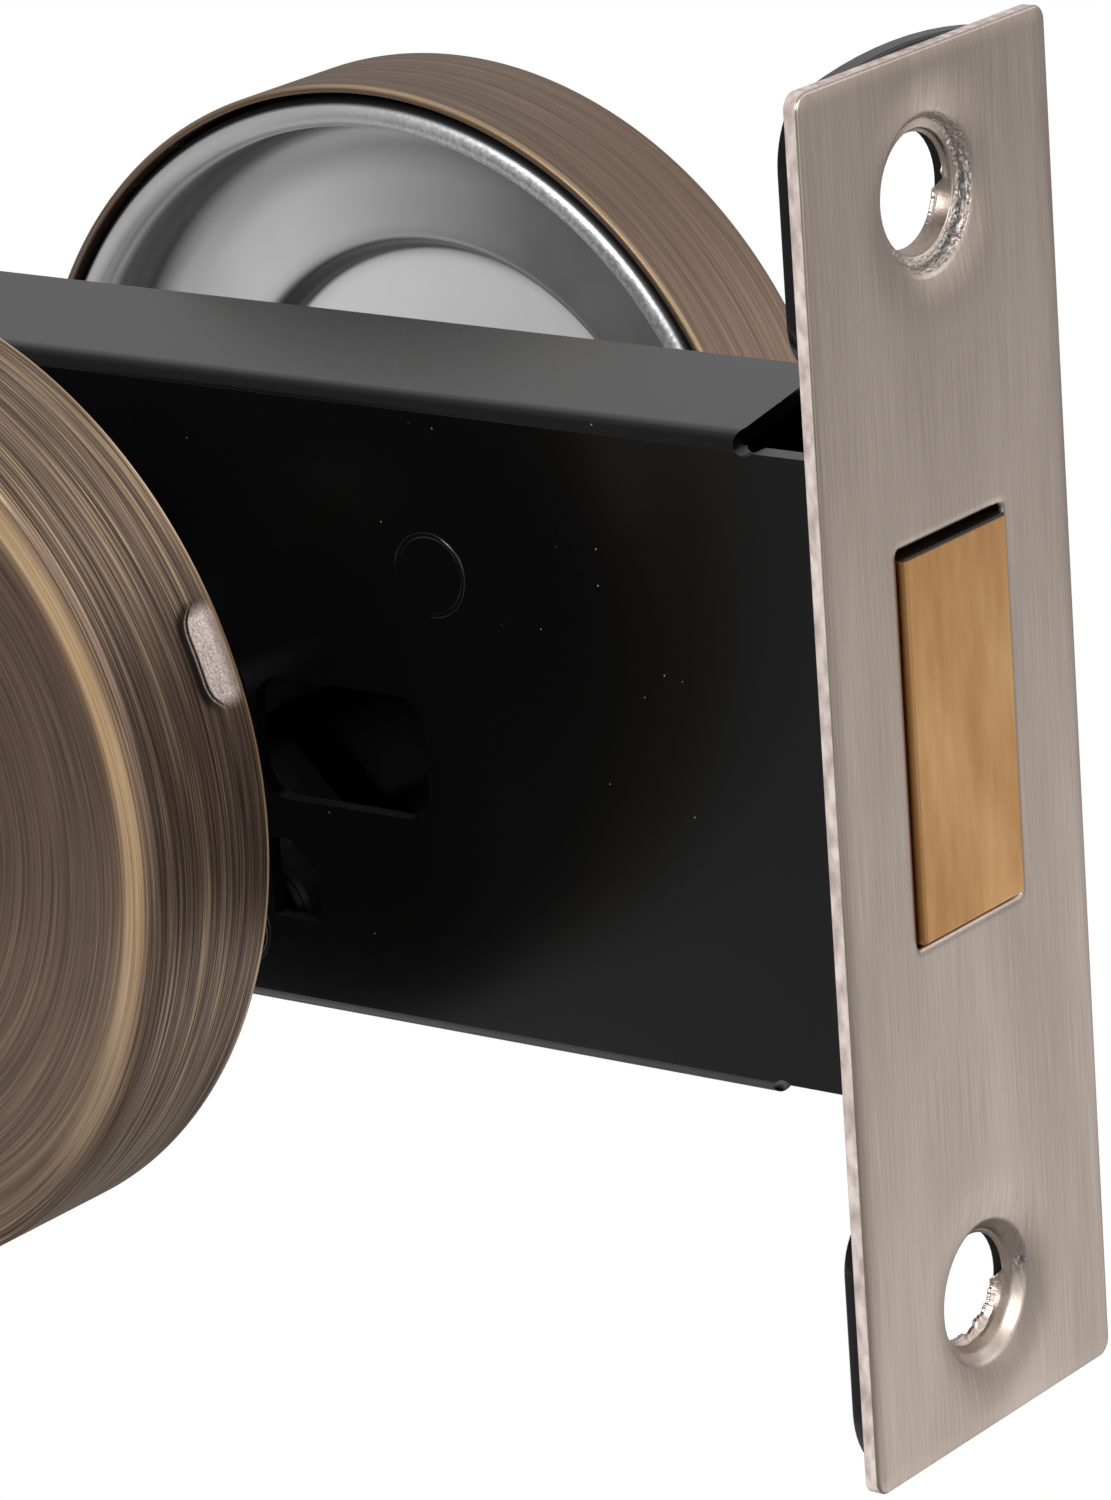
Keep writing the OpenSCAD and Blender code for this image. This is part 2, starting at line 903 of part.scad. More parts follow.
// Ring that keeps the thumbturn in its bush
module turn_circlip() {
    color(steel)
        on_rose(-1)
            translate([0, 0, boss_depth - bush_flange - clip_t - groove_gap])
                open_ring(shaft_r - groove_d + fit, clip_r, clip_t);
}

// Set screw from the thumbturn's rim to the spindle
module grub_screw() {
    seat = spindle_w / 2 + spindle_gap;
    color(steel)
        on_rose(-1)
            translate([0, -seat, front_h + knob_gap + knob_base / 2])
                rotate([90, 0, 0])
                    difference() {
                        cylinder(r = grub_r, h = grub_len);
                        translate([0, 0, grub_len - 1.2])
                            cylinder(r = 0.75, h = 2, $fn = 6);
                    }
}

// Bezel of the indicator: a round box on the rose with a window and a threaded neck
module indicator_bezel() {
    top = front_h + bezel_h;
    neck_back = boss_depth - nut_t - 0.4;
    color(brass_old)
        on_rose(1)
            difference() {
                union() {
                    translate([0, 0, front_h])
                        rotate_extrude($fn = 96)
                            round_step(bezel_r, bezel_h, 0.8);
                    translate([0, 0, neck_back])
                        cylinder(r = neck_r, h = front_h - neck_back + eps);
                }
                translate([0, 0, front_h + bezel_face])
                    cylinder(r = bezel_r - bezel_wall, h = bezel_h - 2 * bezel_face);
                cylinder(r = coin_r + coin_gap, h = top + 1);
                translate([0, 0, top - 2 * bezel_face])
                    linear_extrude(3 * bezel_face)
                        indicator_arc(window_in, window_out, 42);
            }
}

// A sector of a ring, open towards the rose's upper side
module indicator_arc(r_in, r_out, half_angle) {
    reach = 2 * r_out;
    intersection() {
        difference() {
            circle(r_out);
            circle(r_in);
        }
        polygon([
            [0, 0],
            [-reach * sin(half_angle), -reach * cos(half_angle)],
            [reach * sin(half_angle), -reach * cos(half_angle)]
        ]);
    }
}

// Clear lens behind the window
module indicator_window() {
    color([0.85, 0.9, 0.92, 0.5])
        on_rose(1)
            translate([0, 0, front_h + bezel_h - bezel_face - lens_t])
                linear_extrude(lens_t)
                    indicator_arc(window_in - 0.9, bezel_r - bezel_wall - 0.05, 55);
}

// Two-colour disc that turns with the release
module indicator_disc() {
    color("white")
        on_rose(1)
            translate([0, 0, front_h + bezel_face + 0.1])
                difference() {
                    cylinder(r = bezel_r - bezel_wall - 0.3, h = disc_t);
                    translate([0, 0, -1])
                        cylinder(r = coin_r + fit, h = disc_t + 2);
                }
}

// Coin-slotted release: head in the bezel, shaft with a square socket
module release_turn() {
    back = boss_depth - nut_t - 0.4 - clip_t - 1.2;
    top = front_h + bezel_h;
    color(brass_old)
        on_rose(1)
            difference() {
                translate([0, 0, back])
                    cylinder(r = coin_r, h = top - back);
                translate([0, 0, top - coin_slot_d / 2 + eps])
                    cube([2 * coin_r + 1, coin_slot_w, coin_slot_d], center = true);
                translate([0, 0, back - 1])
                    linear_extrude(front_h - 1 - back + 1)
                        square(spindle_w + 2 * spindle_gap, center = true);
                difference() {
                    translate([0, 0, boss_depth - nut_t - 0.4 - clip_t - 2 * groove_gap])
                        cylinder(r = coin_r + 1, h = clip_t + 2 * groove_gap);
                    cylinder(r = coin_r - groove_d, h = rose_h);
                }
            }
}

// Ring that keeps the release in the bezel's neck
module release_circlip() {
    color(steel)
        on_rose(1)
            translate([0, 0, boss_depth - nut_t - 0.4 - clip_t - groove_gap])
                open_ring(coin_r - groove_d + fit, clip_r, clip_t);
}

// Thin round nut that clamps the bezel, cap and cup together
module bezel_nut() {
    color(zinc)
        on_rose(1)
            translate([0, 0, boss_depth - nut_t])
                difference() {
                    cylinder(r = nut_r, h = nut_t);
                    translate([0, 0, -1])
                        cylinder(r = neck_r + fit, h = nut_t + 2);
                    for (a = [45 : 90 : 315])
                        rotate([0, 0, a])
                            translate([nut_r, 0, 0])
                                cube([1, nut_slot_w, 2 * nut_t + 1], center = true);
                }
}

faceplate();
inner_forend();
case_body();
case_cover();
case_pillars();
bolt_head();
bolt_tail();
bolt_rivets();
follower();
drive_pin();
detent_spring();
spindle();
rose_cap(-1, shaft_r + 0.4, dimples_near);  // near_rose_cap
rose_cup(-1, bush_r);  // near_rose_cup
rose_cap(1, neck_r + 0.1, dimples_far);  // far_rose_cap
rose_cup(1, neck_r + 0.1);  // far_rose_cup
rose_posts();
rose_screws();
turn_knob();
turn_bush();
turn_circlip();
grub_screw();
indicator_bezel();
indicator_window();
indicator_disc();
release_turn();
release_circlip();
bezel_nut();
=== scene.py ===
"""Looks of a mortice privacy bolt: black case, nickel forend, brass bolt and two antiqued roses.

All lengths in the tables below are millimetres in the CAD part's frame: X out of the faceplate,
Y through the door from the thumbturn side to the indicator side, Z up.
"""

import json

import bmesh
import bpy
import numpy as np
from mathutils import Matrix, Vector


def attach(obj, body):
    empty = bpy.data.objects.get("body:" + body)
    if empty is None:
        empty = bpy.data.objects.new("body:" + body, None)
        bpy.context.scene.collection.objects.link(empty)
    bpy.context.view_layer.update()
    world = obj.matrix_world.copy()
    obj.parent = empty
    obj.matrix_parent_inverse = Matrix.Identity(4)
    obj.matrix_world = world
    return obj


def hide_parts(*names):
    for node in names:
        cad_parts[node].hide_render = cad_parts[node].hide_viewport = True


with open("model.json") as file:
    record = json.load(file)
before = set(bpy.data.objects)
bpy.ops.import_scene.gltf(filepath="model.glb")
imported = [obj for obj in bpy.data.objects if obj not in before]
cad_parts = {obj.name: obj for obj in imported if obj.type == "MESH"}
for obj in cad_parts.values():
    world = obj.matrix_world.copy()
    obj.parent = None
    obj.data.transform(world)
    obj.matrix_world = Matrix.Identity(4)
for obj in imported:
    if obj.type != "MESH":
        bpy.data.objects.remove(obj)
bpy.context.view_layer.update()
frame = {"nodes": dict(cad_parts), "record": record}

MM = 0.001
SPINDLE_X = -59.0
NEAR_Y = -25.6
FAR_Y = 24.4

FACE_W = 25.0
FACE_H = 82.8
FACE_T = 1.0
FACE_CORNER_R = 1.0
SCREW_Z = 33.1
SCREW_R = 3.4
SEAM_Z = 20.0
APERTURE_W = 10.9
APERTURE_H = 23.7
APERTURE_Z = 1.8
APERTURE_CORNER_R = 0.35
BOLT_TOP = 13.2

ROSE_R = 29.4
ROSE_H = 10.3
DISH_H = 9.35
CAP_T = 0.5
CUP_T = 0.7
CUP_WALL_R = 26.55
BEAD_R = 1.0
FLOOR_H = 6.6
BOSS_R = 17.0
BOSS_H = 8.15
NEAR_HOLE_R = 5.0
FAR_HOLE_R = 7.3
NEAR_DIMPLES = (19.6, 139.6, 259.6)
FAR_DIMPLES = (8.0, 128.0, 248.0)


# Meshes

def grid_faces(rows, cols, wrap_rows=False, wrap_cols=False):
    """Quads of a grid of rows by cols points, closed on itself along either way if asked."""
    r = np.arange(rows if wrap_rows else rows - 1)
    c = np.arange(cols if wrap_cols else cols - 1)
    r, c = np.meshgrid(r, c, indexing="ij")
    r2, c2 = (r + 1) % rows, (c + 1) % cols
    quads = np.stack([r * cols + c, r * cols + c2, r2 * cols + c2, r2 * cols + c], axis=-1)
    return quads.reshape(-1, 4)


def make_piece(name, points, faces, uv=None, attributes=None):
    """A mesh object from points in millimetres, its faces pointing outwards, with point attributes."""
    mesh = bpy.data.meshes.new(name)
    mesh.from_pydata((np.asarray(points, float) * MM).tolist(), [], np.asarray(faces).tolist())
    for key, values in (attributes or {}).items():
        layer = mesh.attributes.new(key, "FLOAT", "POINT")
        layer.data.foreach_set("value", np.asarray(values, np.float32).ravel())
    piece = bpy.data.objects.new(name, mesh)
    bpy.context.scene.collection.objects.link(piece)
    work = bmesh.new()
    work.from_mesh(mesh)
    bmesh.ops.remove_doubles(work, verts=work.verts, dist=2e-7)
    bmesh.ops.delete(work, geom=[v for v in work.verts if not v.link_faces], context="VERTS")
    bmesh.ops.recalc_face_normals(work, faces=work.faces)
    work.to_mesh(mesh)
    work.free()
    mesh.shade_smooth()
    return piece


def filleted(corners, steps=8):
    """A polyline through (a, b, radius) corners, each corner replaced by an arc of its radius."""
    corners = np.asarray(corners, float)
    out = [corners[0, :2]]
    for before, here, after in zip(corners[:-2], corners[1:-1], corners[2:]):
        radius = here[2]
        if radius == 0:
            out.append(here[:2])
            continue
        u = (before[:2] - here[:2]) / np.linalg.norm(before[:2] - here[:2])
        v = (after[:2] - here[:2]) / np.linalg.norm(after[:2] - here[:2])
        half = np.arccos(np.clip(u @ v, -1, 1)) / 2
        reach = radius / np.tan(half)
        centre = here[:2] + (u + v) / np.linalg.norm(u + v) * radius / np.sin(half)
        a, b = here[:2] + u * reach - centre, here[:2] + v * reach - centre
        turn = np.arctan2(a[0] * b[1] - a[1] * b[0], a @ b)
        angles = turn * np.linspace(0, 1, steps + 1)[:, None]
        side = np.array([-a[1], a[0]])
        out.extend(centre + a * np.cos(angles) + side * np.sin(angles))
    out.append(corners[-1, :2])
    return np.array(out)


def refined(path, step):
    """The polyline with points added so that none of its stretches is longer than step."""
    spans = np.linalg.norm(np.diff(path, axis=0), axis=1)
    counts = np.maximum(1, np.ceil(spans / step).astype(int))
    parts = [
        a + (b - a) * np.linspace(0, 1, n, endpoint=False)[:, None]
        for a, b, n in zip(path[:-1], path[1:], counts)
    ]
    return np.vstack(parts + [path[-1:]])


def on_rose(side, r, angle, h):
    """Points of a rose: r from the spindle, angle from +X towards +Z, h away from the door's face."""
    y = (FAR_Y + h) if side > 0 else (NEAR_Y - h)
    return np.stack(np.broadcast_arrays(SPINDLE_X + r * np.cos(angle), y, r * np.sin(angle)), axis=-1)


def turned(name, side, profile, angles, dent=None, marks=None):
    """A closed profile of (r, h) points carried round the spindle.

    dent(angle, h) gives how far the cap's wall is pressed in there, how bare its brass is and how
    stained, the stain deepened by painted shade. marks are further attributes, one number per profile
    point.
    """
    r, h = profile[:, 0][:, None], profile[:, 1][:, None]
    a = angles[None, :]
    depth, bare, stain = np.zeros((3, *np.broadcast_shapes(r.shape, a.shape)))
    if dent is not None:
        depth, bare, stain = dent(a, h) * (r > ROSE_R - CAP_T - 0.2)
    points = on_rose(side, r - depth, a, h)
    rows, cols = points.shape[:2]
    attributes = {key: np.repeat(np.asarray(value, float), cols) for key, value in (marks or {}).items()}
    attributes.update({"dent": bare, "stain": stain})
    faces = grid_faces(rows, cols, wrap_rows=True, wrap_cols=True)
    return make_piece(name, points.reshape(-1, 3), faces, attributes=attributes)


# Materials

def linear(hex_colour):
    """sRGB hex colour as linear RGBA."""
    c = np.array([int(hex_colour[i:i + 2], 16) / 255 for i in (1, 3, 5)])
    c = np.where(c <= 0.04045, c / 12.92, ((c + 0.055) / 1.055) ** 2.4)
    return (*c, 1.0)


def new_material(name):
    """An empty node material and its tree, with an output and a principled shader joined to it."""
    material = bpy.data.materials.new(name)
    material.use_nodes = True
    tree = material.node_tree
    tree.nodes.clear()
    output = tree.nodes.new("ShaderNodeOutputMaterial")
    shader = tree.nodes.new("ShaderNodeBsdfPrincipled")
    tree.links.new(shader.outputs[0], output.inputs["Surface"])
    return material, tree, shader


def add(tree, kind, settings=None, **inputs):
    """Adds a node. settings are its properties; inputs are values or sockets, by name or as iN."""
    node = tree.nodes.new("ShaderNode" + kind)
    for key, value in (settings or {}).items():
        setattr(node, key, value)
    for key, value in inputs.items():
        numbered = key[0] == "i" and key[1:].isdigit()
        socket = node.inputs[int(key[1:])] if numbered else node.inputs[key.replace("_", " ")]
        if isinstance(value, bpy.types.NodeSocket):
            tree.links.new(value, socket)
        else:
            socket.default_value = value
    return node


def ramp(tree, factor, stops):
    """A colour ramp over factor through (place, hex colour) stops."""
    node = add(tree, "ValToRGB", i0=factor)
    bar = node.color_ramp
    while len(bar.elements) < len(stops):
        bar.elements.new(0.5)
    for element, (place, colour) in zip(bar.elements, stops):
        element.position = place
        element.color = linear(colour)
    return node.outputs["Color"]


def math(tree, operation, *values):
    """One arithmetic step on values or sockets."""
    inputs = {f"i{i}": v for i, v in enumerate(values)}
    return add(tree, "Math", {"operation": operation}, **inputs).outputs[0]


def set_shader(tree, shader, **inputs):
    """Sets or links inputs of the principled shader by name."""
    for key, value in inputs.items():
        socket = shader.inputs[key.replace("_", " ")]
        if isinstance(value, bpy.types.NodeSocket):
            tree.links.new(value, socket)
        else:
            socket.default_value = value


def mapped(tree, scale, place=(0, 0, 0)):
    """Object coordinates in metres, scaled per axis (cycles per metre) and shifted."""
    coordinates = add(tree, "TexCoord").outputs["Object"]
    return add(tree, "Mapping", Vector=coordinates, Scale=scale, Location=place).outputs[0]


def antique_brass():
    """Antiqued brass: brown-stained brass brushed in circles and lacquered, gold where it is rubbed and
    where a highlight is painted, with painted shade in its dimples and across its wall.
    """
    material, tree, shader = new_material("antique_brass")
    dent = add(tree, "Attribute", {"attribute_name": "dent"}).outputs["Fac"]
    stain = add(tree, "Attribute", {"attribute_name": "stain"}).outputs["Fac"]
    wall = add(tree, "Attribute", {"attribute_name": "wall"}).outputs["Fac"]
    rubbed_and_painted_highlight = add(tree, "Attribute", {"attribute_name": "rubbed_and_painted_highlight"}).outputs["Fac"]
    place = add(tree, "TexCoord").outputs["Object"]
    parts = add(tree, "SeparateXYZ", Vector=place)
    # millimetres across the brushing: out from the spindle on a face, along it on a wall
    flat = add(tree, "CombineXYZ", X=math(tree, "SUBTRACT", parts.outputs["X"], SPINDLE_X * MM),
               Z=parts.outputs["Z"])
    out = add(tree, "VectorMath", {"operation": "LENGTH"}, i0=flat.outputs[0]).outputs["Value"]
    along = math(tree, "SUBTRACT", out, math(tree, "ABSOLUTE", parts.outputs["Y"]))
    along = math(tree, "DIVIDE", along, MM)

    def lines(round_scale, across_scale, detail):
        """Noise drawn out along the brushing: cycles per metre round the rose, per mm across it."""
        stretched = add(tree, "CombineXYZ", X=math(tree, "MULTIPLY", parts.outputs["X"], round_scale),
                        Y=math(tree, "MULTIPLY", along, across_scale),
                        Z=math(tree, "MULTIPLY", parts.outputs["Z"], round_scale))
        return add(tree, "TexNoise", Vector=stretched.outputs[0], Scale=1.0, Detail=detail,
                   Roughness=0.55).outputs["Fac"]

    # brush lines 0.12 mm apart and 12 mm long, stain streaks 0.3 mm apart and soft bands 3 mm wide
    fine = lines(85.0, 8.0, 2.0)
    streaks = lines(28.0, 3.4, 2.0)
    bands = lines(14.0, 0.3, 1.0)
    depth = add(tree, "MapRange", Value=wall, To_Min=0.2, To_Max=0.95).outputs[0]
    mixed = math(tree, "ADD", math(tree, "MULTIPLY", fine, 0.68), math(tree, "MULTIPLY", streaks, 0.22))
    mixed = math(tree, "ADD", mixed, math(tree, "MULTIPLY", bands, 0.1))
    swing = math(tree, "MULTIPLY", math(tree, "SUBTRACT", mixed, 0.5), depth)
    # painted shade: a darker band across the wall at the spindle's height
    level = math(tree, "ABSOLUTE", math(tree, "SUBTRACT", parts.outputs["Z"], 0.002))
    patch = add(tree, "MapRange", Value=level, From_Min=0.015, From_Max=0.003, To_Max=0.055).outputs[0]
    tone = math(tree, "SUBTRACT", math(tree, "ADD", swing, 0.5), math(tree, "MULTIPLY", patch, wall))
    brushed = ramp(tree, tone, [(0.36, "#46382f"), (0.47, "#725f54"), (0.54, "#927a67"),
                                (0.6, "#b8a07e"), (0.67, "#d8c29c")])
    # hands rub the rim most at its upper right
    # painted highlight: the rim's gold is painted strongest at its upper right, where the rim catches the
    # light
    upper_right = math(tree, "ADD", parts.outputs["X"], parts.outputs["Z"])
    painted_highlight_side = add(tree, "MapRange", Value=upper_right, From_Min=-0.06, From_Max=-0.026, To_Min=0.1).outputs[0]
    rubbed_and_painted_highlight = math(tree, "MULTIPLY", rubbed_and_painted_highlight, painted_highlight_side)
    gold = ramp(tree, tone, [(0.4, "#b58f62"), (0.5, "#e0bf93"), (0.6, "#fbe6c6")])
    worn_and_painted_highlight = add(tree, "Mix", {"data_type": "RGBA"}, i0=math(tree, "MULTIPLY", rubbed_and_painted_highlight, 0.9), i6=brushed,
               i7=gold)
    grain = add(tree, "TexNoise", Vector=place, Scale=7000.0, Detail=2.0)
    bare = ramp(tree, grain.outputs["Fac"], [(0.35, "#bfaaa3"), (0.65, "#f6e8e1")])
    # the dimples' stain, deepened by painted shade, and their painted shadow lines
    dark = add(tree, "Mix", {"data_type": "RGBA"}, i0=math(tree, "MULTIPLY", stain, 0.95),
               i6=worn_and_painted_highlight.outputs[2], i7=linear("#1c1513"))
    colour = add(tree, "Mix", {"data_type": "RGBA"}, i0=dent, i6=dark.outputs[2], i7=bare)
    relief = math(tree, "ADD", tone, math(tree, "MULTIPLY", dent, grain.outputs["Fac"]))
    bump = add(tree, "Bump", Strength=0.3, Distance=0.00003, Height=relief)
    gloss = add(tree, "MapRange", Value=tone, From_Min=0.35, From_Max=0.65, To_Min=0.46, To_Max=0.36)
    dull = math(tree, "MULTIPLY", math(tree, "SUBTRACT", 0.6, rubbed_and_painted_highlight), 0.08)
    metal = math(tree, "SUBTRACT", 0.82, math(tree, "MULTIPLY", rubbed_and_painted_highlight, 0.5))
    set_shader(tree, shader, Base_Color=colour.outputs[2], Metallic=metal,
               Roughness=math(tree, "ADD", gloss.outputs[0], dull), Normal=bump.outputs[0])
    return material


def satin_nickel():
    """Satin nickel on steel: brush lines, raw sheared edge, torn punch marks, and painted shade in the
    bolt's aperture and in the ledge's split.
    """
    material, tree, shader = new_material("satin_nickel")
    edge = add(tree, "Attribute", {"attribute_name": "edge"}).outputs["Fac"]
    torn = add(tree, "Attribute", {"attribute_name": "torn"}).outputs["Fac"]
    painted_shade = add(tree, "Attribute", {"attribute_name": "painted_shade"}).outputs["Fac"]
    # brush lines 0.12 mm apart and some 8 mm long
    fine = add(tree, "TexNoise", Vector=mapped(tree, (3000, 8000, 120)), Scale=1.0, Detail=3.0,
               Roughness=0.6).outputs["Fac"]
    cloud = add(tree, "TexNoise", Vector=mapped(tree, (60, 160, 30)), Scale=1.0, Detail=2.0)
    mixed = math(tree, "ADD", math(tree, "MULTIPLY", fine, 0.6),
                 math(tree, "MULTIPLY", cloud.outputs["Fac"], 0.4))
    face = ramp(tree, mixed, [(0.38, "#b4a59a"), (0.5, "#c1b2a7"), (0.62, "#cdbeb3")])
    shear = add(tree, "TexNoise", Vector=mapped(tree, (1500, 1500, 700)), Scale=1.0, Detail=3.0)
    raw = ramp(tree, shear.outputs["Fac"], [(0.35, "#c0aea7"), (0.65, "#efe2da")])
    crumbs = add(tree, "TexNoise", Vector=mapped(tree, (6000, 6000, 6000)), Scale=1.0, Detail=2.0)
    broken = ramp(tree, crumbs.outputs["Fac"], [(0.3, "#857d78"), (0.7, "#ded4ce")])
    sheared = add(tree, "Mix", {"data_type": "RGBA"}, i0=edge, i6=face, i7=raw)
    clean = add(tree, "Mix", {"data_type": "RGBA"}, i0=torn, i6=sheared.outputs[2], i7=broken)
    # painted shade: near black in the aperture's throat and in the ledge's split
    colour = add(tree, "Mix", {"data_type": "RGBA"}, i0=painted_shade, i6=clean.outputs[2], i7=linear("#0c0a09"))
    height = math(tree, "ADD", fine, math(tree, "MULTIPLY", torn, math(tree, "MULTIPLY",
                  crumbs.outputs["Fac"], 1.5)))
    bump = add(tree, "Bump", Strength=0.15, Distance=0.00002, Height=height)
    rough = add(tree, "MapRange", Value=math(tree, "MAXIMUM", edge, torn), To_Min=0.34, To_Max=0.46)
    bare = add(tree, "MapRange", Value=math(tree, "MAXIMUM", edge, painted_shade), To_Min=1.0, To_Max=0.35)
    set_shader(tree, shader, Base_Color=colour.outputs[2], Metallic=bare.outputs[0],
               Roughness=rough.outputs[0], Normal=bump.outputs[0])
    return material


def black_paint():
    """Gloss black stove paint on sheet steel, with a few specks of dust in it and painted light on what
    faces up.
    """
    material, tree, shader = new_material("black_paint")
    # one cell in five of a 1.4 mm grid holds a speck 0.1 mm across
    dust = add(tree, "TexVoronoi", Vector=mapped(tree, (700, 700, 700)), Scale=1.0, Randomness=1.0)
    spot = add(tree, "MapRange", Value=dust.outputs["Distance"], From_Min=0.045, From_Max=0.025)
    chance = add(tree, "SeparateXYZ", Vector=dust.outputs["Color"]).outputs["X"]
    speck = math(tree, "MULTIPLY", spot.outputs[0], math(tree, "GREATER_THAN", chance, 0.8))
    # fine dust and painted light make what faces up paler
    upward = add(tree, "SeparateXYZ", Vector=add(tree, "TexCoord").outputs["Normal"]).outputs["Z"]
    dust_and_painted_light = add(tree, "MapRange", Value=upward, From_Min=0.85, From_Max=0.98)
    film = add(tree, "Mix", {"data_type": "RGBA"}, i0=dust_and_painted_light.outputs[0], i6=linear("#070707"),
               i7=linear("#303030"))
    colour = add(tree, "Mix", {"data_type": "RGBA"}, i0=speck, i6=film.outputs[2], i7=linear("#8d8a87"))
    peel = add(tree, "TexNoise", Vector=mapped(tree, (500, 500, 500)), Scale=1.0, Detail=1.0)
    bump = add(tree, "Bump", Strength=0.03, Distance=0.0001, Height=peel.outputs["Fac"])
    set_shader(tree, shader, Base_Color=colour.outputs[2], Roughness=0.22, Specular_IOR_Level=0.5,
               Normal=bump.outputs[0])
    return material


def bolt_brass():
    """Drawn brass bolt, polished and lightly tarnished in soft clouds, with a few tiny pits and painted
    shade along its upper edge.
    """
    material, tree, shader = new_material("bolt_brass")
    cloud = add(tree, "TexNoise", Vector=mapped(tree, (200, 190, 110)), Scale=1.0, Detail=3.0,
                Roughness=0.5)
    wipe = add(tree, "TexNoise", Vector=mapped(tree, (900, 1400, 220), (0.1, 0, 0)), Scale=1.0, Detail=2.0)
    mixed = math(tree, "ADD", math(tree, "MULTIPLY", cloud.outputs["Fac"], 0.7),
                 math(tree, "MULTIPLY", wipe.outputs["Fac"], 0.3))
    stain = ramp(tree, mixed, [(0.34, "#c8945f"), (0.5, "#d6a26b"), (0.66, "#e0b079")])
    cells = add(tree, "TexVoronoi", Vector=mapped(tree, (500, 500, 500)), Scale=1.0, Randomness=1.0)
    spot = add(tree, "MapRange", Value=cells.outputs["Distance"], From_Min=0.06, From_Max=0.03)
    chance = add(tree, "SeparateXYZ", Vector=cells.outputs["Color"]).outputs["X"]
    pit = math(tree, "MULTIPLY", spot.outputs[0], math(tree, "GREATER_THAN", chance, 0.85))
    # painted shade: its upper edge is near black, where it lies in the dark gap of the aperture
    height = add(tree, "SeparateXYZ", Vector=mapped(tree, (1, 1, 1))).outputs["Z"]
    painted_top_shade = add(tree, "MapRange", Value=height, From_Min=(BOLT_TOP - 0.22) * MM,
                  From_Max=(BOLT_TOP - 0.12) * MM)
    dark = add(tree, "Mix", {"data_type": "RGBA"}, i0=pit, i6=stain, i7=linear("#4a2f1c")).outputs[2]
    colour = add(tree, "Mix", {"data_type": "RGBA"}, i0=painted_top_shade.outputs[0], i6=dark, i7=linear("#1a110a"))
    metal = math(tree, "SUBTRACT", 1.0, math(tree, "MULTIPLY", painted_top_shade.outputs[0], 0.8))
    rough = add(tree, "MapRange", Value=mixed, From_Min=0.35, From_Max=0.65, To_Min=0.42, To_Max=0.3)
    bump = add(tree, "Bump", Strength=0.06, Distance=0.00004, Height=mixed)
    set_shader(tree, shader, Base_Color=colour.outputs[2], Metallic=metal, Roughness=rough.outputs[0],
               Normal=bump.outputs[0])
    return material


def pressed_steel(name, dark, light, roughness):
    """Cold-rolled steel or zinc plate: even grey with faint clouds, rough where the press rolled it, with
    painted glints on the rolled rim, painted light on the cup's floor and painted shade on its drawn wall,
    step and the rim's outer side.
    """
    material, tree, shader = new_material(name)
    rolled = add(tree, "Attribute", {"attribute_name": "rolled"}).outputs["Fac"]
    boss = add(tree, "Attribute", {"attribute_name": "boss"}).outputs["Fac"]
    drawn = add(tree, "Attribute", {"attribute_name": "drawn"}).outputs["Fac"]
    floor = add(tree, "Attribute", {"attribute_name": "floor"}).outputs["Fac"]
    place = add(tree, "SeparateXYZ", Vector=mapped(tree, (1, 1, 1)))
    forward = add(tree, "MapRange", Value=place.outputs["X"], From_Min=-0.062, From_Max=-0.046)
    # the rolled rim's front part is rough, and its grain is painted with glints
    rough_with_painted_glints = math(tree, "MULTIPLY", rolled, forward.outputs[0])
    cloud = add(tree, "TexNoise", Vector=mapped(tree, (120, 120, 120)), Scale=1.0, Detail=3.0)
    clean = ramp(tree, cloud.outputs["Fac"], [(0.3, dark), (0.7, light)])
    # painted light: the cup's floor is painted pale and matt at the back and stays glossy in front, its
    # boss is matt all over, and the drawn wall and step get painted shade
    matt_and_painted_light = add(tree, "MapRange", Value=place.outputs["X"], From_Min=-0.05, From_Max=-0.07, To_Max=0.7)
    matt_and_painted_light = math(tree, "MAXIMUM", boss, math(tree, "MULTIPLY", floor, matt_and_painted_light.outputs[0]))
    matt_and_painted_light = math(tree, "MAXIMUM", matt_and_painted_light, math(tree, "MULTIPLY", rolled, 0.35))
    sheet = add(tree, "Mix", {"data_type": "RGBA"}, i0=drawn, i6=clean, i7=linear("#4c4c4c")).outputs[2]
    pale = add(tree, "Mix", {"data_type": "RGBA"}, i0=matt_and_painted_light, i6=sheet, i7=linear("#ededed"))
    grain = add(tree, "TexNoise", Vector=mapped(tree, (3500, 3500, 3500)), Scale=1.0, Detail=2.0)
    glint = ramp(tree, grain.outputs["Fac"], [(0.42, dark), (0.6, "#f0f0f0")])
    colour = add(tree, "Mix", {"data_type": "RGBA"}, i0=math(tree, "MULTIPLY", rough_with_painted_glints, 0.7),
                 i6=pale.outputs[2], i7=glint)
    height = math(tree, "MULTIPLY", grain.outputs["Fac"], math(tree, "ADD", 0.1,
                  math(tree, "MULTIPLY", rough_with_painted_glints, 3.0)))
    bump = add(tree, "Bump", Strength=0.15, Distance=0.00003, Height=height)
    metal = math(tree, "SUBTRACT", 0.95, math(tree, "MULTIPLY", matt_and_painted_light, 0.7))
    set_shader(tree, shader, Base_Color=colour.outputs[2], Metallic=metal, Roughness=roughness,
               Normal=bump.outputs[0])
    return material


def nylon():
    """Natural nylon bush: waxy off-white."""
    material, tree, shader = new_material("nylon")
    cloud = add(tree, "TexNoise", Vector=mapped(tree, (600, 600, 600)), Scale=1.0, Detail=2.0)
    colour = ramp(tree, cloud.outputs["Fac"], [(0.3, "#d6d0c0"), (0.7, "#e2ddcf")])
    set_shader(tree, shader, Base_Color=colour, Roughness=0.45, Subsurface_Weight=0.1)
    return material


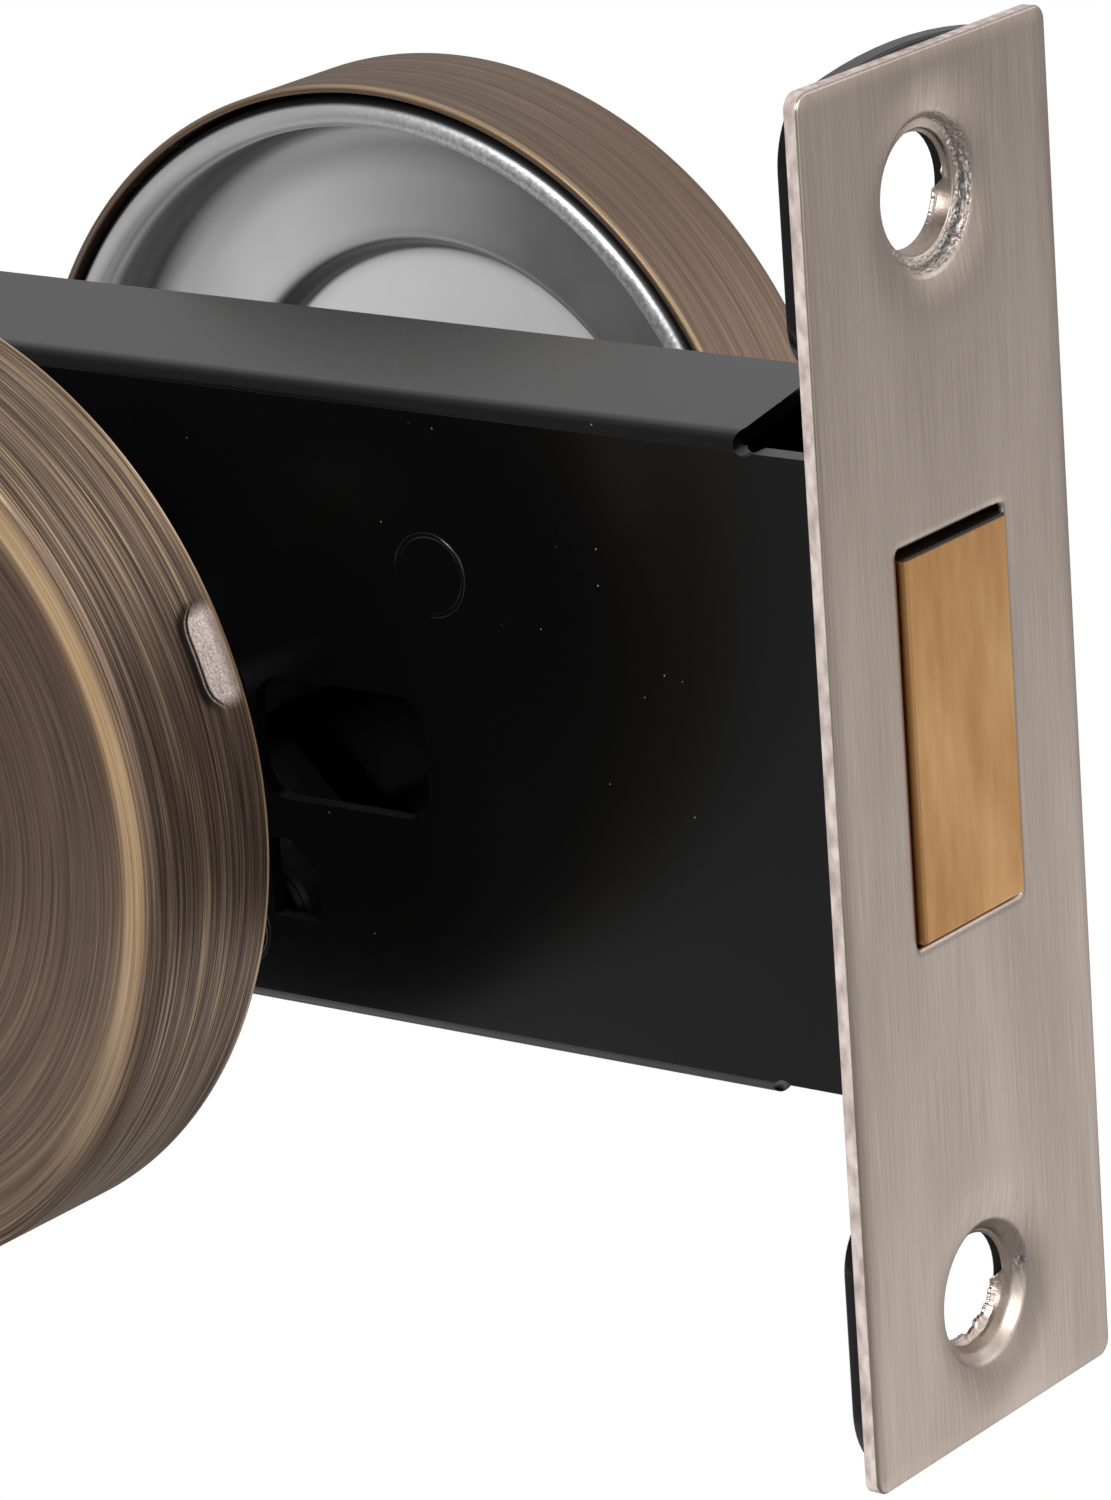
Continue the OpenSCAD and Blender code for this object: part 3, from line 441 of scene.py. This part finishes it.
def clear_lens():
    """Clear polycarbonate window."""
    material, tree, shader = new_material("clear_lens")
    set_shader(tree, shader, Base_Color=linear("#fafcfc"), Roughness=0.02, IOR=1.58,
               Transmission_Weight=1.0)
    return material


def indicator_enamel():
    """Printed indicator disc: green where the window shows vacant, red where it shows engaged."""
    material, tree, shader = new_material("indicator_enamel")
    place = add(tree, "SeparateXYZ", Vector=mapped(tree, (1, 1, 1), (-SPINDLE_X * MM, 0, 0)))
    angle = math(tree, "ARCTAN2", place.outputs["X"], place.outputs["Z"])
    red = math(tree, "LESS_THAN", angle, -0.785)
    grain = add(tree, "TexNoise", Vector=mapped(tree, (2500, 2500, 2500)), Scale=1.0)
    green = ramp(tree, grain.outputs["Fac"], [(0.3, "#2f8f4e"), (0.7, "#3a9a58")])
    colour = add(tree, "Mix", {"data_type": "RGBA"}, i0=red, i6=green, i7=linear("#b3221f"))
    set_shader(tree, shader, Base_Color=colour.outputs[2], Roughness=0.35)
    return material


MATERIALS = {
    "antique_brass": antique_brass(),
    "satin_nickel": satin_nickel(),
    "black_paint": black_paint(),
    "bolt_brass": bolt_brass(),
    "zinc_steel": pressed_steel("zinc_steel", "#75777a", "#8e9093", 0.3),
    "plain_steel": pressed_steel("plain_steel", "#bababb", "#cfcfcf", 0.4),
    "shaded_steel": pressed_steel("shaded_steel", "#5c5a58", "#6c6a68", 0.4),
    "nylon": nylon(),
    "clear_lens": clear_lens(),
    "indicator_enamel": indicator_enamel(),
}
SLOT_OF = {part["node"]: part["material_slot"] for part in frame["record"]["subparts"]}
# painted shade: the near cup, shaded between the case and its rose, gets a darker copy of the steel
FINISH_OF = {**SLOT_OF, "near_rose_cup": "shaded_steel"}


def dress(piece, body, node):
    """Puts a new piece in place of a CAD node: its body, its slot and its material."""
    slot = SLOT_OF[node]
    piece.data.materials.append(MATERIALS[slot])
    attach(piece, body)
    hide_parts(node)
    return piece


# Roses

def around(dimples=()):
    """Angles round the spindle: every degree, and closer across each dimple."""
    steps = [np.arange(0, 360, 1.0)]
    steps += [(np.arange(-6.9, 6.9, 0.15) + d) % 360 for d in dimples]
    return np.radians(np.unique(np.round(np.concatenate(steps), 3)))


def cap_profile(hole_r):
    """Outer skin from the hole over dish, rim and wall, and back along the inner skin."""
    wall = [(ROSE_R, h, 0) for h in (*np.arange(4.6, 3.2, -0.2), *np.arange(3.1, 0.15, -0.08))]
    outer = filleted([
        (hole_r, DISH_H, 0), (23.8, DISH_H, 14.0), (26.4, DISH_H + 0.35, 8.0), (28.5, ROSE_H, 1.6),
        (ROSE_R, ROSE_H, 0.6), *wall,
        (ROSE_R, 0, 0.12), (ROSE_R - CAP_T / 2, 0, 0),
    ])
    inner = filleted([
        (ROSE_R - CAP_T / 2, 0, 0), (ROSE_R - CAP_T, 0, 0.12), (ROSE_R - CAP_T, ROSE_H - CAP_T, 0.5),
        (28.3, ROSE_H - CAP_T, 1.0), (26.3, DISH_H + 0.3 - CAP_T, 6.0), (24.0, DISH_H - CAP_T, 10.0),
        (hole_r, DISH_H - CAP_T, 0),
    ])
    return np.vstack([refined(outer, 2.0), refined(inner, 3.0)[1:]])


def cap_marks(profile, lines):
    """How strong the brush lines are, on dish and wall, and how rubbed the rim and the back edge are, their
    gold partly wear and partly a painted highlight.
    """
    r, h = profile.T
    rim = np.minimum(1, 1.5 * np.exp(-((r - 27.6) / 0.9) ** 2)) * (h > 4)
    edge = 0.6 * np.clip(1.6 - h / 0.25, 0, 1) * (r > ROSE_R - 0.2)
    wall = 0.3 + (lines - 0.3) * np.clip((r - 28.2) / 0.8, 0, 1)
    return {"wall": wall, "rubbed_and_painted_highlight": np.maximum(rim, edge)}


DIMPLE_FRONT = 2.6
DIMPLE_BACK = 0.3
DIMPLE_D = 0.42


def between(value, low, high):
    """1 between low and high and 0 outside them, with soft ends 0.08 wide."""
    return np.clip((value - low) / 0.08, 0, 1) * np.clip((high - value) / 0.08, 0, 1)


def dimple_field(dimples):
    """Depth, bareness and stain of the pressed detent dimples.

    Each is a tab lanced along its front edge and pushed in there: the floor slopes up to the wall's
    back edge, and both ends fade. The skin in front of the lanced edge rolls in and keeps its stain,
    deepened by painted shade, and a painted shadow line runs along the lanced edge.
    """
    def press(angle, h):
        depth, bare, stain = np.zeros((3, *np.broadcast_shapes(angle.shape, h.shape)))
        for d in dimples:
            across = (np.degrees(angle) - d + 180) % 360 - 180
            t = np.abs(np.radians(across) * ROSE_R)
            front = DIMPLE_FRONT - 0.9 * np.clip((t - 1.3) / 1.9, 0, 1) ** 2
            ends = np.clip((3.4 - t) / 1.2, 0, 1) ** 2 * (3 - 2 * np.clip((3.4 - t) / 1.2, 0, 1))
            rise = np.clip((h - DIMPLE_BACK) / (front - DIMPLE_BACK), 0, 1)
            floor = DIMPLE_D * rise ** 0.8 * ends
            roll = 0.34 * np.exp(-((h - front) / 0.8) ** 2) * ends
            depth = np.maximum(depth, np.where(h < front, floor, roll))
            lip = between(h, front, front + 0.24)
            inner = between(h, -1.0, front - 0.2) * np.clip(rise / 0.35, 0, 1)
            bare = np.maximum(bare, ends * np.maximum(lip, inner))
            # a painted shadow line along the lanced edge, and stain deepened by painted shade on the
            # rolled-in skin
            painted_shadow_line = between(h, front - 0.26, front + 0.02)
            band = between(h, front + 0.2, front + 2.0) * np.clip((front + 1.3 - h) / 0.4, 0, 1)
            stain = np.maximum(stain, ends * np.maximum(painted_shadow_line, band))
        return np.stack([depth, bare, stain])
    return press


BEAD_ANGLES = np.linspace(np.pi, 3 * np.pi - np.arccos(-0.3), 40)


def cup_profile(hole_r):
    """Door side from the hole over boss, step, floor and wall, the rolled rim, then the other side."""
    bead = np.stack([
        CUP_WALL_R + BEAD_R + BEAD_R * np.cos(BEAD_ANGLES),
        BEAD_R + BEAD_R * np.sin(BEAD_ANGLES),
    ], axis=-1)
    door_side = filleted([
        (hole_r, BOSS_H, 0), (BOSS_R, BOSS_H, 0.5), (BOSS_R + 0.9, FLOOR_H - 0.5, 0.8),
        (CUP_WALL_R, FLOOR_H, 2.4), (CUP_WALL_R, BEAD_R, 0),
    ])
    cap_side = filleted([
        (bead[-1, 0], bead[-1, 1], 0), (CUP_WALL_R + CUP_T, FLOOR_H + CUP_T, 1.6),
        (BOSS_R + CUP_T + 0.7, FLOOR_H - 0.5 + CUP_T, 0.3), (BOSS_R + CUP_T, BOSS_H + CUP_T, 0.9),
        (hole_r, BOSS_H + CUP_T, 0),
    ])
    return np.vstack([refined(door_side, 0.6), bead[1:-1], refined(cap_side, 1.2)])


def cup_marks(profile):
    """Where the press rolled the rim, the matt middle boss, the flat floor, and the painted shade on the
    drawn wall and step.

    The rim's outer side, close to the cap, takes the same painted shade as the drawn wall.
    """
    r, h = profile.T
    rim = np.clip(1 - (np.hypot(r - CUP_WALL_R - BEAD_R, h - BEAD_R) - BEAD_R) / 0.2, 0, 1)
    step = np.clip(1.4 - np.abs(r - BOSS_R - 0.45) / 0.5, 0, 1)
    wall = 0.89 * np.clip((r - CUP_WALL_R + 1.2) / 0.8, 0, 1) * (1 - rim)
    floor = np.clip((r - BOSS_R - 0.9) / 0.8, 0, 1) * (1 - wall) * (1 - rim)
    gap = np.clip((r - CUP_WALL_R - 1.45) / 0.2, 0, 1)
    return {"rolled": rim * (1 - gap), "boss": np.clip((BOSS_R - r) / 0.4, 0, 1), "floor": floor,
            "drawn": np.maximum(np.maximum(step, wall), gap)}


def rose_cap(name, side, hole_r, dimples, lines, node):
    """One rose's cap."""
    profile = cap_profile(hole_r)
    cap = turned(name, side, profile, around(dimples), dimple_field(dimples), cap_marks(profile, lines))
    return dress(cap, "lock", node)


rose_cap("near_cap", -1, NEAR_HOLE_R, NEAR_DIMPLES, 1.0, "near_rose_cap")
rose_cap("far_cap", 1, FAR_HOLE_R, FAR_DIMPLES, 0.15, "far_rose_cap")
FAR_CUP = cup_profile(FAR_HOLE_R)
dress(turned("far_cup", 1, FAR_CUP, around(), marks=cup_marks(FAR_CUP)), "lock", "far_rose_cup")


# Faceplate

FACE_ROLL = 1.3
APERTURE_ROLL = 0.45
DISH_R = 7.6
RIM_R = 4.85
RIM_DISH = 0.3
TIP_X = -1.17
CRACK_R = 4.22
BACK_HOLE_R = 4.14
FRONT_STEPS = (0, 0.003, 0.007, 0.012, 0.02, 0.03, 0.045, 0.065, 0.09, 0.12, 0.16, 0.22, 0.3, 0.4, 0.5,
               0.6, 0.68, 0.76, 0.82, 0.87, 0.91, 0.94, 0.96, 0.975, 0.985, 0.993, 1)


UPPER_LEDGE = ((4.6, 0.6, 0.6), (4.15, 0.15, 0.1), (3.62, -0.05, 0.1))
LOWER_LEDGE = ((4.4, 0.6, 0.8), (3.74, 0.0, 0.6))


def cosine_steps(a, b, count):
    """Values from a to b, closest together at both ends."""
    return a + (b - a) * (1 - np.cos(np.linspace(0, np.pi, count + 1))) / 2


def box_outline(y_half, z_low, z_high, across, upright):
    """A closed rectangle of (y, z) points, anticlockwise, closest together at its corners."""
    ys = cosine_steps(-y_half, y_half, across)
    zs = cosine_steps(z_low, z_high, upright)
    low = np.stack([ys[:-1], np.full(across, z_low)], axis=-1)
    right = np.stack([np.full(upright, y_half), zs[:-1]], axis=-1)
    high = np.stack([ys[:0:-1], np.full(across, z_high)], axis=-1)
    left = np.stack([np.full(upright, -y_half), zs[:0:-1]], axis=-1)
    return np.vstack([low, right, high, left])


def eased_corners(points, y_half, z_half, corner_r):
    """The points of a centred rectangle with those near its corners drawn in onto a corner radius."""
    q = np.abs(points) - (np.array([y_half, z_half]) - corner_r)
    near = (q > 0).all(axis=-1)
    reach = np.where(near, np.linalg.norm(q, axis=-1), corner_r)
    drawn = np.abs(points) - q * (1 - corner_r / reach)[:, None] * near[:, None]
    return np.sign(points) * drawn


def outside(points, y_half, z_half, corner_r):
    """How far points lie outside a centred rounded rectangle, negative inside it."""
    q = np.abs(points) - np.array([y_half, z_half]) + corner_r
    return np.linalg.norm(np.maximum(q, 0), axis=-1) + np.minimum(q.max(axis=-1), 0) - corner_r


def rolled_edge(distance, width, depth):
    """Drop of a punched edge: a wide soft roll and a small radius, nought beyond width."""
    wide = np.clip(1 - distance / width, 0, 1) ** 2 * depth
    small = np.clip(1 - distance / 0.12, 0, 1) ** 2 * 0.08
    return wide + small


def face_front(points):
    """Height of the plate's front: rolled down at its outline and aperture, dished round each hole."""
    inset = -outside(points, FACE_W / 2, FACE_H / 2, FACE_CORNER_R)
    beyond = outside(points - [0, APERTURE_Z], APERTURE_W / 2, APERTURE_H / 2, APERTURE_CORNER_R)
    from_hole = np.hypot(points[..., 0], np.abs(points[..., 1]) - SCREW_Z)
    dish = RIM_DISH * np.clip((DISH_R - from_hole) / (DISH_R - RIM_R), 0, 1) ** 2
    return FACE_T - rolled_edge(inset, FACE_ROLL, 0.12) - rolled_edge(beyond, APERTURE_ROLL, 0.14) - dish


def rings(outline, opening, steps):
    """Rings of points from an outline in to an opening along straight lines, steps going 0 to 1."""
    return outline + (opening - outline) * np.asarray(steps)[:, None, None]


def plate_patch(outline, opening, throat, back_opening):
    """One closed patch of the plate round an opening, as points, quads and the three attributes.

    Its rows are the front from the outline in, the throat, the back out to the outline, and the
    sheared side. The throat is rows of (x, y, z) points with how torn each of them is and how much painted
    shade it takes.
    Quads of the side are left out along a seam, where the next patch goes on.
    """
    flat = rings(outline, opening, FRONT_STEPS)
    front = np.concatenate([face_front(flat)[..., None], flat], axis=-1)
    out = rings(outline, back_opening, (1, 0.6, 0.25, 0.06, 0.01, 0))
    back = np.concatenate([np.zeros((*out.shape[:2], 1)), out], axis=-1)
    levels = np.array([0.04, 0.3, 0.6, 0.9])[:, None] * front[0, :, 0]
    side = np.concatenate([levels[..., None], np.repeat(outline[None], 4, axis=0)], axis=-1)
    throat_points, torn_rows, painted_shade_rows = throat
    points = np.concatenate([front, throat_points, back, side])
    rows, cols = points.shape[:2]
    torn = np.zeros((rows, cols))
    torn[len(front):len(front) + len(torn_rows)] = torn_rows
    painted_shade = np.zeros((rows, cols))
    painted_shade[len(front):len(front) + len(torn_rows)] = painted_shade_rows
    edge = np.zeros((rows, cols))
    edge[-len(side):] = 1.0
    on_seam = np.isclose(np.abs(outline[:, 1]), SEAM_Z)
    side_rows = np.arange(rows) >= rows - len(side) - 1
    inner_wall = side_rows[:, None] & (on_seam & np.roll(on_seam, -1))
    quads = grid_faces(rows, cols, wrap_rows=True, wrap_cols=True)[~inner_wall.ravel()]
    return points.reshape(-1, 3), quads, torn.ravel(), edge.ravel(), painted_shade.ravel()


def hole_throat(angles, centre_z, ledge, tear, burrs):
    """The funnel formed through the plate at a screw hole: rim, ledge, smooth wall, tip and outside.

    The ledge is torn and split where tear(angle) is near 1 and smooth where it is 0, and
    burrs(angle) narrows the tip. Both are uneven by seeded random amounts. The tip is broken off
    short at the upper right. Returns the points, how torn they are and the painted shade in the split.
    """
    top = FACE_T - RIM_DISH
    path = filleted([
        (RIM_R, top, 0), *ledge, (3.54, -0.5, 0.4), (3.36, TIP_X, 0),
    ], steps=6)
    path = refined(path, 0.06)[1:]
    outer = np.array([(3.42, TIP_X), (3.62, -0.6), (4.1, -0.02)])
    path = np.vstack([path, outer])
    on_ledge = (path[:, 0] > 3.8) & (path[:, 1] > -0.1) & (path[:, 1] < top - 0.1)
    band = on_ledge[:, None] * tear(angles)[None, :]
    random = np.random.default_rng(11)
    rough = random.normal(size=(len(path), len(angles)))
    rough = rough + np.roll(rough, 1, axis=1) + np.roll(rough, 2, axis=1)
    rough = rough + 0.6 * np.roll(rough, 1, axis=0)
    r = path[:, :1] + rough * band * 0.014
    tip = (np.abs(path[:, 1] - TIP_X) < 0.25)[:, None]
    r = r - tip * burrs(angles)[None, :] * random.uniform(0.8, 1.2, size=(1, len(angles)))
    short = 0.8 * np.clip((angles + 0.2) / 0.2, 0, 1) * np.clip((2.3 - angles) / 0.5, 0, 1)
    # the split along the ledge: a groove with painted shade in it
    crack = np.exp(-((path[:, :1] - CRACK_R - 0.02 * rough[:1]) / 0.07) ** 2) * band
    x = path[:, 1:] + np.maximum(0, -0.3 - path[:, 1:]) * short + rough[::-1] * band * 0.014 - 0.1 * crack
    points = np.stack([x * np.ones_like(r), r * np.cos(angles), centre_z + r * np.sin(angles)], axis=-1)
    return points, band, 0.85 * crack


def upper_tear(angle):
    """The upper hole's ledge: torn from the upper right round to the bottom."""
    return 0.15 + 0.85 * np.clip(1.3 - np.abs(angle + 0.55) / 1.5, 0, 1)


def lower_tear(angle):
    """The lower hole's ledge: smooth apart from one torn spot at the right."""
    return np.exp(-((angle - 0.12) / 0.12) ** 2)


def small_burr(angle):
    """The upper hole's tip: one small tag at the right."""
    return 0.16 * np.exp(-((angle - 0.12) / 0.07) ** 2) + 0.1 * np.exp(-((angle + 0.25) / 0.4) ** 2)


def torn_burrs(angle):
    """The lower hole's tip: jagged tags from the right round to the bottom."""
    turns = (-2.1, -2.0, -1.6, -1.55, -1.24, -1.18, -1.0, -0.94, -0.7, -0.65, -0.4, -0.35, -0.18, -0.1)
    tags = (0, 0.35, 0.75, 0.42, 0.62, 0.9, 0.8, 0.45, 0.55, 0.28, 0.5, 0.22, 0.4, 0)
    return 0.65 * np.interp(angle, turns, tags)


def screw_patch(side, ledge, tear, burrs):
    """The plate round the upper (side 1) or lower (side -1) screw hole."""
    low, high = sorted((side * SEAM_Z, side * FACE_H / 2))
    outline = eased_corners(box_outline(FACE_W / 2, low, high, 80, 100), FACE_W / 2, FACE_H / 2,
                            FACE_CORNER_R)
    centre = np.array([0, side * SCREW_Z])
    angles = np.arctan2(*(outline - centre).T[::-1])
    ray = np.stack([np.cos(angles), np.sin(angles)], axis=-1)
    throat = hole_throat(angles, centre[1], ledge, tear, burrs)
    return plate_patch(outline, centre + RIM_R * ray, throat, centre + BACK_HOLE_R * ray)


def bolt_patch():
    """The plate between the seams, round the bolt's aperture."""
    outline = box_outline(FACE_W / 2, -SEAM_Z, SEAM_Z, 80, 80)
    loop = box_outline(APERTURE_W / 2, -APERTURE_H / 2, APERTURE_H / 2, 80, 80)
    loop = eased_corners(loop, APERTURE_W / 2, APERTURE_H / 2, APERTURE_CORNER_R) + [0, APERTURE_Z]
    levels = np.array([0.7, 0.5, 0.3, 0.1])
    wall = np.concatenate([np.repeat(levels[:, None], len(loop), axis=1)[..., None],
                           np.repeat(loop[None], len(levels), axis=0)], axis=-1)
    # the aperture's throat takes painted shade all over, for the dark gap round the bolt
    return plate_patch(outline, loop, (wall, np.zeros(wall.shape[:2]), np.ones(wall.shape[:2])), loop)


def faceplate():
    """The stamped plate: three patches joined at two seams."""
    patches = [screw_patch(1, UPPER_LEDGE, upper_tear, small_burr), bolt_patch(),
               screw_patch(-1, LOWER_LEDGE, lower_tear, torn_burrs)]
    starts = np.cumsum([0] + [len(patch[0]) for patch in patches[:-1]])
    points = np.vstack([patch[0] for patch in patches])
    quads = np.vstack([patch[1] + start for patch, start in zip(patches, starts)])
    attributes = {"torn": np.concatenate([patch[2] for patch in patches]),
                  "edge": np.concatenate([patch[3] for patch in patches]),
                  "painted_shade": np.concatenate([patch[4] for patch in patches])}
    return dress(make_piece("faceplate_stamped", points, quads, attributes=attributes), "lock", "faceplate")


faceplate()


# Sheet and solid parts: the CAD shapes with their edges eased

def eased(node, width, body, segments=2, reshape=None):
    """A merged copy of a CAD node with its sharp edges rounded by width millimetres."""
    mesh = frame["nodes"][node].data.copy()
    mesh.materials.clear()
    work = bmesh.new()
    work.from_mesh(mesh)
    bmesh.ops.remove_doubles(work, verts=work.verts, dist=1e-6)
    bmesh.ops.dissolve_limit(work, angle_limit=0.02, verts=work.verts, edges=work.edges)
    work.to_mesh(mesh)
    work.free()
    points = np.empty(3 * len(mesh.vertices), np.float32)
    mesh.vertices.foreach_get("co", points)
    points = points.reshape(-1, 3) / MM
    if reshape is not None:
        points = reshape(points)
        mesh.vertices.foreach_set("co", (points * MM).ravel())
    piece = bpy.data.objects.new(node + "_eased", mesh)
    bpy.context.scene.collection.objects.link(piece)
    mesh.shade_smooth()
    bevel = piece.modifiers.new("eased", "BEVEL")
    bevel.width = width * MM
    bevel.segments = segments
    bevel.limit_method = "ANGLE"
    bevel.angle_limit = 0.6
    flat = piece.modifiers.new("flat_faces", "WEIGHTED_NORMAL")
    flat.weight = 100
    return dress(piece, body, node)


def opened_seats(points):
    """The inner forend's screw holes, opened and countersunk to take the faceplate's funnels."""
    y, z = points[:, 1], points[:, 2]
    centre = np.sign(z) * SCREW_Z
    r = np.hypot(y, z - centre)
    seat_r = np.where(points[:, 0] > -0.1, 4.2, 3.46)
    wider = np.where(np.abs(r - SCREW_R) < 0.1, seat_r / np.maximum(r, 0.1), 1.0)
    return np.stack([points[:, 0], y * wider, centre + (z - centre) * wider], axis=-1)


def worn_bolt(points):
    """The bolt's head, its upper side dressed down by 0.2 mm to run free in the aperture."""
    top = points[:, 2] > APERTURE_Z + 11.3
    return points - top[:, None] * np.array([0, 0, 0.2])


eased("case_body", 0.2, "lock", segments=3)
eased("case_cover", 0.12, "lock")
eased("case_pillars", 0.08, "lock")
eased("inner_forend", 0.15, "lock", reshape=opened_seats)
eased("bolt_head", 0.12, "bolt", reshape=worn_bolt)
eased("turn_knob", 0.35, "turn", segments=3)
eased("indicator_bezel", 0.3, "lock", segments=3)
eased("release_turn", 0.15, "turn")

STAKE_R = 2.45
CASE_HALF_T = 7.3
STAKES = ((-31.0, 9.1), (-75.3, 9.1), (-48.0, -15.2), (-70.0, -15.2))


def stake_ring(name, x, z, side):
    """The raised edge that the punch leaves round a staked pillar end, under the paint.

    A flat torus: r = STAKE_R + 0.18 cos b and y = side (CASE_HALF_T - 0.02 + rise sin b) over the angle
    a round the pillar and b round its section, rise going from 0.02 to 0.12 mm along a.
    """
    a, b = np.meshgrid(np.radians(np.arange(0, 360, 3)), np.radians(np.arange(0, 360, 30)), indexing="ij")
    r = STAKE_R + 0.18 * np.cos(b)
    rise = 0.07 + 0.05 * np.cos(a - 0.7)
    y = side * (CASE_HALF_T - 0.02 + rise * np.sin(b))
    points = np.stack([x + r * np.cos(a), y, z + r * np.sin(a)], axis=-1)
    faces = grid_faces(*a.shape, wrap_rows=True, wrap_cols=True)
    ring = make_piece(name, points.reshape(-1, 3), faces)
    ring.data.materials.append(MATERIALS["black_paint"])
    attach(ring, "lock")


for number, (x, z) in enumerate(STAKES):
    stake_ring(f"near_stake_ring_{number}", x, z, -1)
    stake_ring(f"far_stake_ring_{number}", x, z, 1)

for node, piece in frame["nodes"].items():
    if not piece.hide_render:
        piece.data.materials.clear()
        piece.data.materials.append(MATERIALS[FINISH_OF[node]])


# Camera, floor and light

def place_camera():
    """The photograph's view, solved from its straight edges and circles."""
    eye = Vector((224.93, -331.15, 128.31)) * MM
    forward = Vector((-0.57910, 0.75747, -0.30147))
    right = Vector((0.80552, 0.58863, -0.06830))
    up = Vector((-0.12572, 0.28239, 0.95103))
    data = bpy.data.cameras.new("camera")
    data.sensor_width = 36.0
    data.lens = 175.64
    data.clip_start = 0.01
    camera = bpy.data.objects.new("camera", data)
    camera.matrix_world = Matrix((
        (right.x, up.x, -forward.x, eye.x),
        (right.y, up.y, -forward.y, eye.y),
        (right.z, up.z, -forward.z, eye.z),
        (0, 0, 0, 1),
    ))
    bpy.context.scene.collection.objects.link(camera)
    bpy.context.scene.camera = camera


def studio_level(tree, direction):
    """How bright the studio is towards a direction: dim on the camera's side, with five soft sources.

    They are the pale floor to the right behind the lock, a window to the right, and screens to the left,
    right and high behind.
    """
    def source(towards, start, full, strength):
        """A round soft source whose light rises from the cosine start to the cosine full."""
        cosine = add(tree, "VectorMath", {"operation": "DOT_PRODUCT"}, i0=direction, i1=towards)
        return add(tree, "MapRange", {"interpolation_type": "SMOOTHSTEP"}, Value=cosine.outputs["Value"],
                   From_Min=start, From_Max=full, To_Min=0.0, To_Max=strength).outputs[0]

    floor_glow = source((0.42, 0.72, -0.55), 0.915, 0.985, 0.88)
    left_screen = source((-0.80, -0.25, -0.54), 0.80, 0.94, 0.5)
    high_screen = source((0.0, 0.60, 0.80), 0.35, 0.95, 0.5)
    right_screen = source((0.75, 0.55, 0.37), 0.80, 0.95, 0.73)
    side_window = source((0.85, -0.32, 0.42), 0.64, 0.92, 0.73)
    total = math(tree, "ADD", floor_glow, left_screen)
    total = math(tree, "ADD", total, math(tree, "ADD", high_screen, right_screen))
    total = math(tree, "ADD", total, side_window)
    return math(tree, "MINIMUM", math(tree, "ADD", total, 0.27), 1.0)


def studio_white(tree, other, direction, kind):
    """The white that camera and transmission rays see, and glossy rays as far as the studio is bright."""
    rays = add(tree, "LightPath")
    glossy = rays.outputs["Is Glossy Ray"]
    level = math(tree, "MULTIPLY", glossy, studio_level(tree, direction))
    straight = math(tree, "MAXIMUM", rays.outputs["Is Camera Ray"], rays.outputs["Is Transmission Ray"])
    white = add(tree, kind, Strength=math(tree, "MAXIMUM", straight, level))
    seen = math(tree, "MAXIMUM", straight, glossy)
    return add(tree, "MixShader", i0=seen, i1=other, i2=white.outputs[0]).outputs[0]


def lay_floor():
    """Plain white floor below the lock, which a door would hold in the air."""
    half, z = 6000.0, -300.0
    points = [(-half, -half, z), (half, -half, z), (half, half, z), (-half, half, z)]
    floor = make_piece("floor", points, [(0, 1, 2, 3)])
    material, tree, shader = new_material("floor_white")
    set_shader(tree, shader, Base_Color=linear("#e6e6e6"), Roughness=0.9)
    output = next(n for n in tree.nodes if n.type == "OUTPUT_MATERIAL")
    place = add(tree, "TexCoord").outputs["Object"]
    direction = add(tree, "VectorMath", {"operation": "NORMALIZE"}, i0=place).outputs[0]
    tree.links.new(studio_white(tree, shader.outputs[0], direction, "Emission"), output.inputs["Surface"])
    floor.data.materials.append(material)


def light_world():
    """Soft even surroundings for diffuse light, and the studio's sources in reflections."""
    world = bpy.data.worlds.new("studio")
    bpy.context.scene.world = world
    world.use_nodes = True
    tree = world.node_tree
    tree.nodes.clear()
    direction = add(tree, "TexCoord").outputs["Generated"]
    soft = add(tree, "Background", Strength=0.62, Color=(1, 1, 1, 1))
    output = add(tree, "OutputWorld")
    tree.links.new(studio_white(tree, soft.outputs[0], direction, "Background"), output.inputs["Surface"])


def hang_lamp(name, place, aim, size, power):
    """A square soft lamp at a place in metres, facing a point."""
    data = bpy.data.lights.new(name, "AREA")
    data.size = size
    data.energy = power
    lamp = bpy.data.objects.new(name, data)
    place, aim = Vector(place), Vector(aim)
    turn = (aim - place).to_track_quat("-Z", "Y").to_matrix().to_4x4()
    lamp.matrix_world = Matrix.Translation(place) @ turn
    bpy.context.scene.collection.objects.link(lamp)


place_camera()
lay_floor()
light_world()
hang_lamp("window_lamp", (0.85, -0.2, 0.4), (-0.03, 0, 0), 0.55, 3.0)
hang_lamp("back_lamp", (0.6, 0.72, 0.33), (-0.03, 0, 0), 0.4, 0.5)
hang_lamp("front_lamp", (-0.03, -0.8, 0.5), (-0.03, 0, 0), 0.3, 4.5)
bpy.context.scene.view_settings.view_transform = "Standard"
